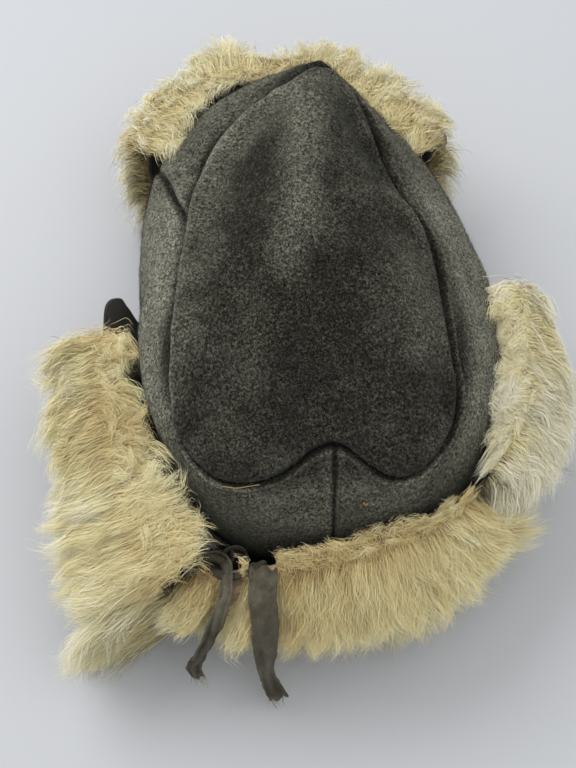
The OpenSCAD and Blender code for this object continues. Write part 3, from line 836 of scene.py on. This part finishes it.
def loose_thread(name, line, width, material, knob=0.0):
    """A fine thread lying on the wool, with a knob at its start."""
    path, _ = smooth_route(line, 30)
    q = np.linspace(0, 2 * math.pi, 7, endpoint=False)
    tangent = unit(np.gradient(path, axis=0))
    side = unit(np.cross(tangent, [0.1, 0.2, 1.0]))
    up = np.cross(side, tangent)
    i = np.arange(30)
    size = width / 2 * (1 + knob * bell(i, 0, 1.6)) * np.where(i % 29 == 0, 0.2, 1)
    turned = side[:, None] * np.cos(q)[:, None] + up[:, None] * np.sin(q)[:, None]
    p = path[:, None] + size[:, None, None] * turned
    obj = make_object(name, p, grid_quads(30, 7, True), (), [material])
    return wear_on(obj, "crown")


def on_crown(x, y):
    """Height of the finished wool at a place, from the surfaces made above."""
    best, height = 1e9, 0.0
    for grid in crown_grids:
        gap = np.hypot(grid[..., 0] - x, grid[..., 1] - y) - 0.02 * grid[..., 2]
        k = np.unravel_index(np.argmin(gap), gap.shape)
        if gap[k] < best:
            best, height = gap[k], grid[k][2]
    return [x, y, height + 0.7]


tan_thread = strand_material("loose_thread", (0.42, 0.27, 0.13), 0.7)
THREAD_AT = ((-41, -106.5), (-38, -107.5), (-33, -108.6), (-28, -108.4), (-22, -108.2))
FLECK_AT = ((23.5, -112.0), (24.5, -112.6), (25.4, -112.2))
loose_thread("loose_thread_back", [on_crown(*xy) for xy in THREAD_AT], 0.55, tan_thread, 1.8)
loose_thread("wool_fleck_back", [on_crown(*xy) for xy in FLECK_AT], 0.8, tan_thread)


# ---- Flap frames ---------------------------------------------------------------------------

def hem_base(th, lean):
    p = np.stack(plan(th, 0.0, HINGE_CLEAR), -1)
    q = np.stack(plan(th + 0.5 * DEG, 0.0, HINGE_CLEAR), -1)
    d = unit(q - p)
    return p, np.stack([d[..., 1], -d[..., 0]], -1), lean * DEG + 0 * th


def left_x(y):
    return -(HEM_W_LEFT + HINGE_CLEAR + 3) + 30 * (np.maximum(0, -30 - y) / 106) ** 2


def left_base(s):
    y = 14 - 150 * s
    n = unit(np.stack([-np.ones_like(y), left_x(y + 0.5) - left_x(y - 0.5)], -1))
    return np.stack([left_x(y), y], -1), n, 12 * DEG + 0 * s


def neck_base(s):
    lean = 12 + 16 * np.clip(1 - s, 0, 1) ** 2.5
    return hem_base((250 + 57 * s) * DEG, lean)


FLAPS = {
    "front": (lambda s: hem_base((38 + 104 * s) * DEG, 8.0), FRONT_H),
    "left": (left_base, EAR_H),
    "right": (lambda s: hem_base((-43 + 49 * s) * DEG, 9.0), EAR_H),
    "neck": (neck_base, NECK_H),
}


def flap_frame(flap, s):
    """Base points and the flap's out, up and along directions at shares s of its length."""
    p, n, lean = FLAPS[flap][0](np.asarray(s, float))
    c, sn = np.cos(lean)[..., None], np.sin(lean)[..., None]
    zero = np.zeros_like(lean)[..., None]
    base = np.concatenate([p, zero + FLOOR_Z], -1)
    out = np.concatenate([n * c, -sn], -1)
    up = np.concatenate([n * sn, c], -1)
    along = np.stack([-n[..., 1], n[..., 0], zero[..., 0]], -1)
    return base, out, up, along


def flap_pt(flap, s, t, d):
    base, out, up, _ = flap_frame(flap, s)
    p = base + out * np.asarray(d)[..., None] + up * np.asarray(t)[..., None]
    p[..., 2] = np.maximum(p[..., 2], FLOOR_Z)
    return p


FUR_ROWS = [0, 0.12, 0.3, 0.55, 0.8, 0.94, 1]
FUR_SWELL = [0.78, 0.9, 1, 1, 0.86, 0.62, 0.3]
FUR_IN = CLOTH_T + PELT_T + 2 * GAP

# Each flap's fur: its depth, the shares of the flap where it starts and ends, how far it is combed
# (least, most), how far it spreads at its two ends, how pale it is and its batches of clumps
FUR = {
    "front": dict(depth=22.0, first=0.0, last=1.0, swing=(5, 12), spread=(9, 9), tone=1.2, batches=2),
    "left": dict(depth=38.0, first=0.18, last=1.0, swing=(11, 23), spread=(3, 11), tone=0.3, batches=4),
    "right": dict(depth=24.0, first=0.0, last=0.86, swing=(9, 18), spread=(18, 3), tone=2.6, batches=3),
    "neck": dict(depth=32.0, first=0.0, last=1.0, swing=(9, 18), spread=(6, 20), tone=-0.7, batches=4),
}


def fur_reach(flap, s, t):
    """How far the fur stands off a flap's skin."""
    h = FLAPS[flap][1]
    end = 0.4 + 0.6 * np.maximum(0, np.sin(math.pi * (s * 14 + 0.35) / 14.7)) ** 0.5
    if flap == "left":
        end = window(s, 0.34, 2, 0.2) * 0.56 + 0.13 + 0.35 * window(s, 0.85, 2, 0.3)
    if flap == "right":
        end = end * np.interp(s, [0, 0.3, 0.5, 0.7, 0.85], [1.15, 1.1, 0.9, 0.66, 0.42])
    if flap == "front":
        end = (0.78 - 0.35 * bell(s, 0.77, 0.04) - 0.45 * bell(s, 0.52, 0.05) + 0.35 * bell(s, 0.64, 0.06)
               - 0.18 * bell(s, 0.86, 0.06)) * end
    if flap == "neck":
        end = end * (1 + 0.15 * window(s, 0.75, 2, 0.25))
    return FUR[flap]["depth"] * np.interp(t / (h + 9), FUR_ROWS, FUR_SWELL) * end


def inward_reach(flap, s):
    """How far the fur at a flap's upper edge lies back towards the crown."""
    table = {"left": ([0, 0.19, 0.26, 0.45, 0.75, 0.9, 1], [0, 0, 12, 15, 20, 25, 24]),
             "right": ([0, 0.10, 0.2, 0.9, 1], [3, 4, 13, 13, 9]),
             "neck": ([0, 0.2, 0.3, 0.75, 0.85, 1], [7, 8, 9, 8, 5, 6]),
             "front": ([0, 0.12, 0.3, 0.7, 0.88, 1], [24, 19, 10, 8, 18, 24])}[flap]
    return np.interp(s, *table)


def flow_field(flap, s, out, along):
    """Which way the fur is combed at a place on a flap, as a direction over its surface."""
    level = unit(out * np.array([1, 1, 0]))
    rear = np.array([0.0, -1.0, 0.0])
    if flap == "left":
        pull = np.interp(s, [0.16, 0.25, 0.4, 0.6, 0.85, 1], [0.5, 0.45, 0.6, 0.75, 0.3, 0.1])
        return unit(level * 0.8 + rear * pull[:, None] + np.array([-0.7, 0, 0]) * (s > 0.75)[:, None])
    if flap == "right":
        pull = np.interp(s, [0, 0.5, 0.85, 1], [0.7, 0.9, 0.9, 0.7])
        return unit(level * 0.9 + rear * pull[:, None])
    if flap == "neck":
        return unit(level + np.array([1, 0, 0]) * (-0.30 * (1 - s) + 0.5 * (s > 0.8))[:, None])
    side = np.interp(s, [0, 0.5, 1], [-0.2, 0, 0.2])
    return unit(level + along * side[:, None])


SEGMENTS = 6
TAU = np.linspace(0, 1, SEGMENTS + 1)[None, :, None]
TIE_LINES = np.concatenate([left_tie[2][::6], right_tie[2][::6]])


def fur_clumps(flap, rng, clumps):
    """Roots and middle curves of clumps of fur on a flap, with where they stand and the flap's directions."""
    h = FLAPS[flap][1]
    inner_share = 0.08 if flap == "neck" else 0.20
    kind = rng.choice(4, clumps, p=[0.46, 0.42 - inner_share, inner_share, 0.12])
    first, last = FUR[flap]["first"], FUR[flap]["last"]
    s = rng.uniform(first, last, clumps)
    t = rng.uniform(0.01, 1.0, clumps) ** 0.8 * h
    d = np.full(clumps, FUR_IN - 0.4)
    top_out, top_in, at_end = kind == 1, kind == 2, kind == 3
    s = np.where(at_end, np.where(rng.uniform(size=clumps) < 0.5, first, last), s)
    reach = fur_reach(flap, s, h * 0.7)
    d = np.where(at_end, rng.uniform(0.1, 0.6, clumps) * reach, d)
    inward = inward_reach(flap, s)
    t = np.where(top_out | top_in, h + rng.uniform(3.5, 5, clumps), t)
    rim = 0.55 * fur_reach(flap, s, h + 3.0)
    d = np.where(top_out, -0.3 * inward + rng.uniform(0, 1, clumps) * (FUR_IN + rim + 0.3 * inward), d)
    d = np.where(top_in, rng.uniform(-0.4, 0.6, clumps) * np.maximum(inward, FUR_IN), d)
    keep = ~(top_in & (inward < rng.uniform(0, 8, clumps)))
    if flap == "left":
        keep &= ~((top_out | top_in) & (s < 0.28))
        keep &= ~((s < 0.26) & (t > 0.66 * h))
    s, t, d, inward, top_out, top_in, at_end = (v[keep] for v in (s, t, d, inward, top_out, top_in, at_end))
    clumps = len(s)
    root = flap_pt(flap, s, t, d)
    _, out, up, along = flap_frame(flap, s)
    flow = flow_field(flap, s, out, along)
    reach = fur_reach(flap, s, np.minimum(t + 2, h))
    size = rng.uniform(0.72, 1.10, clumps)
    go_out = np.where(top_out, 0.85, 1.0) * reach * size
    go_out = np.where(top_in, -inward * rng.uniform(0.5, 1.15, clumps), go_out)
    level = t / h
    lift = np.where(top_in, rng.uniform(1, 6, clumps),
                    np.where(top_out, rng.uniform(2, 8, clumps), rng.uniform(-2, 9, clumps) * level))
    sag = np.where(top_in, rng.uniform(2, 7, clumps), np.where(top_out, 8.0, rng.uniform(3, 12, clumps)))
    swing = np.where(top_in, rng.uniform(5, 13, clumps), rng.uniform(*FUR[flap]["swing"], clumps) * size)
    low_end, high_end = FUR[flap]["spread"]
    sweep = np.where(s < 0.5, -low_end, high_end) * rng.uniform(0.5, 1.1, clumps)
    sideways = np.where(at_end, sweep, rng.normal(0, 2.5, clumps))
    lead = (out * go_out[:, None])[:, None] * (1 - (1 - TAU) ** 1.7)
    combed = flow - out * np.sum(flow * out, -1, keepdims=True)
    turn = (0.4 if flap == "front" else 1.1) * noise(root, 30.0, 55, 1) + 0.45 * noise(root, 11.0, 56, 1)
    turn = turn + rng.normal(0, 0.36, clumps)
    turn = (turn + top_in * rng.uniform(-1.3, 1.3, clumps))[:, None]
    combed = combed * np.cos(turn) + np.cross(out, combed) * np.sin(turn)
    lead = lead + ((combed + 0.2 * flow * ~top_in[:, None]) * swing[:, None])[:, None] * TAU ** 1.4
    lead = lead + (up * lift[:, None])[:, None] * (1 - (1 - TAU) ** 2)
    lead = lead + (along * sideways[:, None])[:, None] * TAU ** 1.2
    lead[..., 2] -= sag[:, None] * TAU[..., 0] ** 2.2
    wave_a, wave_b = rng.uniform(0, 6.283, (2, clumps, 1, 1))
    turns = rng.uniform(0.8, 1.7, (clumps, 1, 1)) * 6.283
    amp = rng.uniform(1.0, 4.2, (clumps, 1, 1)) * TAU
    lead = lead + along[:, None] * (amp * np.sin(turns * TAU + wave_a))
    lead = lead + up[:, None] * (amp * 0.8 * np.sin(turns * TAU * 0.9 + wave_b))
    return root, lead, top_out, top_in, level, out, up, along


def fur_strands(flap, seed, clumps, per_clump):
    """Paths, widths, shading normals and shades of one batch of clumped fur on a flap."""
    rng = np.random.default_rng(seed)
    root, lead, top_out, top_in, level, out, up, along = fur_clumps(flap, rng, clumps)
    on_top = top_out | top_in
    clumps = len(root)
    n = clumps * per_clump
    c = np.repeat(np.arange(clumps), per_clump)
    spread = rng.normal(0, 1, (n, 2)) * 3.0
    off = along[c] * spread[:, :1] + up[c] * spread[:, 1:] * np.where(on_top, 0.35, 1.0)[c][:, None]
    gather = rng.uniform(0.10, 0.88, (n, 1, 1))
    stray = rng.uniform(size=n) < 0.12
    gather[stray] = -0.5
    grow = rng.uniform(0.72, 1.08, (n, 1, 1))
    paths = root[c][:, None] + off[:, None] * (1 - gather * np.minimum(TAU * 1.1, 1)) + lead[c] * grow
    frizz = rng.normal(0, 1, (n, 2, 3))
    paths = paths + frizz[:, :1] * (0.8 * TAU)
    paths = paths + frizz[:, 1:] * (0.7 * np.sin(TAU * 5.5 + frizz[:, :1, :1]) * TAU)
    paths[..., 2] = np.maximum(paths[..., 2], 0.55 + 0.8 * rng.uniform(size=(n, 1)))
    if flap in ("neck", "left"):
        apart = np.full(n, 1e9)
        for place in TIE_LINES:
            gap = np.linalg.norm((paths[:, 1:] - place) * np.array([1, 0.8, 0.6]), axis=-1).min(-1)
            apart = np.minimum(apart, gap)
        clear = apart > 6.6
        paths, c, off = paths[clear], c[clear], off[clear]
        n = len(paths)
    tangent = unit(np.gradient(paths, axis=1))
    outward = (out * np.where(top_in, 0.1, 1.0)[:, None]
               + up * np.where(on_top, 1.2, 0.35 + 0.5 * level)[:, None])
    outward = unit(outward)
    flat = unit(np.cross(outward[c][:, None], tangent))
    turn = rng.uniform(-0.9, 0.9, (n, 1, 1))
    across = flat * np.cos(turn) + np.cross(tangent, flat) * np.sin(turn)
    face = np.cross(tangent, across)
    lump = (rng.normal(0, 0.22, (clumps, 3))[c] + 0.16 * off)[:, None]
    normal = outward[c][:, None] + np.array([0, 0, 0.35]) + lump
    normal = unit(normal - 0.55 * tangent * np.sum(normal * tangent, -1, keepdims=True) + 0.12 * face)
    widths = np.interp(TAU[0, :, 0], [0, 0.3, 0.75, 1], [0.17, 0.19, 0.15, 0.03])
    widths = widths[None] * rng.uniform(0.6, 1.25, (n, 1))
    # Fur lying against the crown is darker: partly its tan roots and partly painted shade from the crown,
    # darker still on the front flap.
    near_crown = np.where(top_in, 1.3, np.where(top_out, 0.4, 0.0)) * (1.6 if flap == "front" else 1.0)
    tone = rng.normal(0, 0.16, n) + (rng.normal(0, 0.6, len(near_crown)) - near_crown + FUR[flap]["tone"])[c]
    place = noise(root[c], 15.0, 77, 2) * 2.2
    seg = (np.arange(SEGMENTS) + 0.5) / SEGMENTS
    shade = np.interp(seg, [0, 0.2, 0.6, 1], [1.8, 3.2, 4.3, 5.1])[None] + (tone + place)[:, None] * 0.75
    shade = np.clip(np.round(shade + rng.normal(0, 0.25, (n, SEGMENTS))), 0, 6).astype(int)
    return paths, widths, across, normal, shade


CLUMPS, PER_CLUMP = ((420, 38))
seed = 100
for flap in FLAPS:
    for batch in range(FUR[flap]["batches"]):
        seed += 1
        paths, widths, across, normal, shade = fur_strands(flap, seed, CLUMPS, PER_CLUMP)
        verts, quads = ribbons(paths, widths, across)
        obj = make_object(f"{flap}_fur_locks_{batch + 1}", verts, quads, (), fur_mats, shade.ravel())
        both = np.repeat(normal.reshape(-1, 3), 2, axis=0)
        obj.data.normals_split_custom_set_from_vertices(both.astype(np.float32))
        wear_on(obj, flap + "_flap")

SHEET_SPAN = {"left": (0.05, 1.0), "right": (0.0, 0.88), "neck": (0.0, 1.0), "front": (0.0, 1.0)}
undercoat = undercoat_material()
suede = suede_material()
flap_cloths = {
    "front": cloth_material("flap_cloth_front", (0.028, 0.026, 0.020), (0.050, 0.047, 0.036)),
    "left": cloth_material("flap_cloth", (0.016, 0.013, 0.009), (0.034, 0.028, 0.020)),
}
flap_cloths["right"] = flap_cloths["neck"] = flap_cloths["left"]


def undercoat_section(flap, s, h):
    """Outline of the felted under-fur, up a flap's outer face and over its edge, as heights and depths."""
    level = np.linspace(0, h + 3, 34)[:, None]
    face_d = FUR_IN + 0.62 * fur_reach(flap, s, level)
    lip = inward_reach(flap, s) * 0.45
    top_t = np.array([h + 5.5, h + 6.0, h + 5.5, h + 4.5, h + 2.5])[:, None] + 0 * s
    share = np.array([0.55, 0.1, -0.45, -0.8, -1.0])[:, None]
    top_d = np.where(share > 0, FUR_IN + 0.62 * fur_reach(flap, s, h + 3.0) * share,
                     FUR_IN * 0.5 + (lip + FUR_IN * 0.5) * share)
    low = 1 - 0.3 * np.clip((0.30 - s) / 0.10, 0, 1) * (flap == "left")
    return np.vstack([level + 0 * s, top_t]) * low, np.vstack([face_d, top_d])


for flap, (_, h) in FLAPS.items():
    s = np.linspace(FUR[flap]["first"], FUR[flap]["last"], 150)[None, :]
    t_out, d_out = undercoat_section(flap, s, h)
    full = np.broadcast_to(s, t_out.shape)
    p_out = flap_pt(flap, full, t_out, d_out)
    over = h + np.array([2.2, 2.4, 2.2, 1.8, 1.2, 0.8, 0.6, 0.5, 0.5])
    t_in = np.concatenate([np.linspace(0, h, 30), over])
    d_in = np.where(np.arange(39)[:, None] < 31, FUR_IN, np.minimum(FUR_IN, d_out - 0.4))
    p_in = flap_pt(flap, full, np.minimum(t_in[:, None], t_out.max(0)[None] - 1.5), d_in + 0 * s)
    n = grid_normals(p_out, False) * (-1 if flap == "left" else 1)
    p_out = p_out + n * (1.8 * noise(p_out, 9.0, 21, 3) + 1.2 * noise(p_out, 3.5, 22, 2))[..., None]
    p_out[..., 2] = np.maximum(p_out[..., 2], 0.6)
    if flap == "left":
        p_out, p_in = p_out[:, ::-1], p_in[:, ::-1]
    obj = shell(flap + "_fur_undercoat", p_out, p_in, [undercoat])
    wear_on(obj, flap + "_flap", flap + "_flap_fur")

    for part, mat, d_a, d_b, wave, slot in (
            ("cloth", flap_cloths[flap], 0.0, CLOTH_T, 0.35, "flap_cloth"),
            ("pelt", suede, CLOTH_T + GAP, CLOTH_T + GAP + PELT_T, 0.12, "pelt_skin")):
        first, last = SHEET_SPAN[flap]
        first += 0.11 * (flap == "left" and part == "pelt")
        s = np.broadcast_to(np.linspace(first, last, 160), (40, 160))
        corner = (first + 0.14 - s) / 0.14 if flap == "left" else (s - last + 0.1) / 0.1
        corner = np.clip(corner, 0, 1)
        t = (h - 2.5 * (part == "pelt")) * np.linspace(0, 1, 40)[:, None] * (1 - 0.3 * corner ** 2.5)
        p_a, p_b = flap_pt(flap, s, t, d_a + 0 * s), flap_pt(flap, s, t, d_b + 0 * s)
        sway = wave * (noise(p_a, 12.0, 41, 2) + 0.6 * noise(p_a, 4.0, 42, 1))
        n = unit(p_b - p_a)
        p_a, p_b = p_a + n * sway[..., None], p_b + n * sway[..., None]
        if flap == "left":
            p_a, p_b = p_a[:, ::-1], p_b[:, ::-1]
        obj = shell(f"{flap}_flap_{part}_sheet", p_b, p_a, [mat])
        wear_on(obj, flap + "_flap", f"{flap}_flap_{part}")

# ---- Hem, sweatband, tie tabs, hinge strips ------------------------------------------------

binding_mat = cloth_material("binding_tape", (0.022, 0.017, 0.012), (0.045, 0.037, 0.028))
band_mat = cloth_material("sweatband_cloth", (0.040, 0.026, 0.017), (0.075, 0.052, 0.035), 0.8)
stitch_thread = strand_material("stitch_thread", (0.16, 0.13, 0.09), 0.6)

th = np.linspace(0, 2 * math.pi, 480, endpoint=False)


def ring(name, node, material, section):
    """Closed band round the hem. section(share) gives the inset and height at shares round its outline."""
    inset, z = section(np.linspace(0, 1, 28, endpoint=False))
    bulge = WALL_BULGE * np.sin(math.pi * np.clip(z, 0, SEAM_H) / SEAM_H)
    x, y = plan(th[None], 0.0, (bulge - inset)[:, None])
    p = np.stack([x, y, np.broadcast_to(z[:, None], x.shape)], -1)
    p = np.concatenate([p, p[:1]])
    p = p + grid_normals(p, True) * (0.10 * noise(p, 5.0, 81, 2))[..., None]
    p[..., 2] = np.maximum(p[..., 2], 0.1)
    quads = grid_quads(29, len(th), True) % (28 * len(th))
    return wear_on(make_object(name, p[:-1], quads, (), [material]), "crown", node)


def rounded(inset_a, inset_b, z_a, z_b, corner):
    """Outline of a band's cross-section with rounded corners, from its outer foot upwards."""
    def outline(share):
        turn = -0.75 * math.pi - share * 2 * math.pi
        c, sn = np.cos(turn), np.sin(turn)
        return ((inset_a + inset_b) / 2 + (inset_b - inset_a) / 2 * spow(c, corner),
                (z_a + z_b) / 2 - (z_b - z_a) / 2 * spow(sn, corner))
    return outline


ring("hem_binding_tape", "hem_binding", binding_mat,
     rounded(-BINDING_OUT + 0.1, INNER_OFF - GAP, 0.05, BINDING_H, 0.5))
ring("sweatband_ring", "sweatband", band_mat,
     rounded(SWEATBAND_OFF, SWEATBAND_OFF + SWEATBAND_T, BINDING_H + GAP, SWEATBAND_H, 0.25))


def stitches(name, places, ways, faces, length, width, body):
    """A row of short raised stitches."""
    turn = np.linspace(0, 2 * math.pi, 6, endpoint=False)[:, None]
    rise = np.array([0.15, 0.9, 1.0, 0.9, 0.15])
    verts = []
    for p, d, f in zip(places, ways, faces):
        side = np.cross(d, f)
        for k, at in enumerate(np.linspace(-0.5, 0.5, 5)):
            mid = p + d * at * length + f * (width * 0.45 * rise[k] - width * 0.35)
            verts.append(mid + (side * np.cos(turn) + f * np.sin(turn)) * width / 2 * (0.35 + 0.65 * rise[k]))
    quads = np.concatenate([grid_quads(5, 6, True) + 30 * i for i in range(len(places))])
    return wear_on(make_object(name, verts, quads, (), [stitch_thread]), body)


# Each flap's hinge line: the axis it is fixed on (0 is x, 1 is y) and its place
AXES = {"front": (1, 120.5), "left": (0, -83.5), "right": (0, 93.0), "neck": (1, -120.5)}
for flap, (axis, at) in AXES.items():
    s = np.linspace(0.01, 0.99 if flap != "right" else 0.87, 200)
    base = flap_pt(flap, s, 0 * s, 0 * s + 0.6)
    near = np.abs(base[:, axis] - at) < 5.0
    s, foot = s[near], base[near]
    hem = np.stack(plan(np.linspace(0, 2 * math.pi, 1440), 0.0, -1.5), -1)
    pick = np.argmin(np.linalg.norm(hem[None] - foot[:, None, :2], axis=-1), axis=1)
    start = np.concatenate([hem[pick], np.full((len(s), 1), 1.6)], 1)
    q = np.linspace(0, 1, 12)[:, None, None]
    strip = start[None] * (1 - q) + foot[None] * q
    strip[..., 2] = 1.5 + 0.2 * np.sin(q[..., 0] * math.pi)
    if np.mean(grid_normals(strip, False)[..., 2]) < 0:
        strip = strip[:, ::-1]
    run, had = np.linspace(0, 1, 60), np.linspace(0, 1, strip.shape[1])
    strip = np.array([[np.interp(run, had, values) for values in row.T] for row in strip]).transpose(0, 2, 1)
    lift = np.array([0, 0, 0.4])
    obj = shell(flap + "_hinge_cloth", strip + lift, strip - lift, [binding_mat])
    near_end, far_end = [0.0, 0.0, 0.0], [0.0, 0.0, 0.0]
    near_end[axis] = (at - math.copysign(3.0, at)) * MM
    far_end[axis] = (at + math.copysign(3.0, at)) * MM
    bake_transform(obj)

STITCH_Z = SWEATBAND_H - 3
at = np.linspace(0, 2 * math.pi, 170, endpoint=False)
x, y = plan(at, 0.0, WALL_BULGE * math.sin(math.pi * STITCH_Z / SEAM_H) - SWEATBAND_OFF - SWEATBAND_T - 0.05)
row = np.stack([x, y, 0 * x + STITCH_Z], -1)
along_row = unit(np.roll(row, -1, 0) - np.roll(row, 1, 0))
inward_row = np.stack([-along_row[:, 1], along_row[:, 0], 0 * x], -1)
stitches("sweatband_stitching", row, along_row, inward_row, 2.6, 0.55, "crown")


TAB_LOW, TAB_HIGH, TAB_T, TAB_SEAM = 42, 56, 1.6, 0.13
TABS = {"left_tie_tab": ("left", 0.915, 0.985), "right_tie_tab": ("neck", 7.5 / 57, 14.5 / 57)}
for node, (flap, s_lo, s_hi) in TABS.items():
    s_run, t_run = s_hi - s_lo, TAB_HIGH - TAB_LOW
    s, t = np.meshgrid(np.linspace(s_lo, s_hi, 40), np.linspace(TAB_LOW, TAB_HIGH, 40))
    edge = np.minimum.reduce([(s - s_lo) / s_run, (s_hi - s) / s_run,
                              (t - TAB_LOW) / t_run, (TAB_HIGH - t) / t_run])
    puff = TAB_T * (0.75 + 0.25 * np.sin(np.clip(edge / 0.12, 0, 1) * math.pi / 2))
    puff = puff - 0.25 * bell(edge, TAB_SEAM, 0.03)
    near_side, far_side = flap_pt(flap, s, t, -GAP + 0 * s), flap_pt(flap, s, t, -GAP - puff)
    far_side = far_side + unit(far_side - near_side) * (0.12 * noise(far_side, 3.0, 91, 2))[..., None]
    obj = shell(node + "_patch", near_side, far_side, [tape_painted_shade_mat])
    wear_on(obj, flap + "_flap", node)
    run = np.linspace(TAB_SEAM, 1 - TAB_SEAM, 7)
    ss = s_lo + s_run * np.concatenate([run, np.full(7, 1 - TAB_SEAM), np.full(7, TAB_SEAM)])
    st = TAB_LOW + t_run * np.concatenate([np.full(7, 1 - TAB_SEAM), run, run])
    _, out, up, along = flap_frame(flap, ss)
    ways = np.where((np.arange(21) < 7)[:, None], along, up)
    places = flap_pt(flap, ss, st, 0 * ss - GAP - TAB_T * 0.95)
    stitches(node + "_stitching", places, ways, -out, 1.2, 0.4, flap + "_flap")
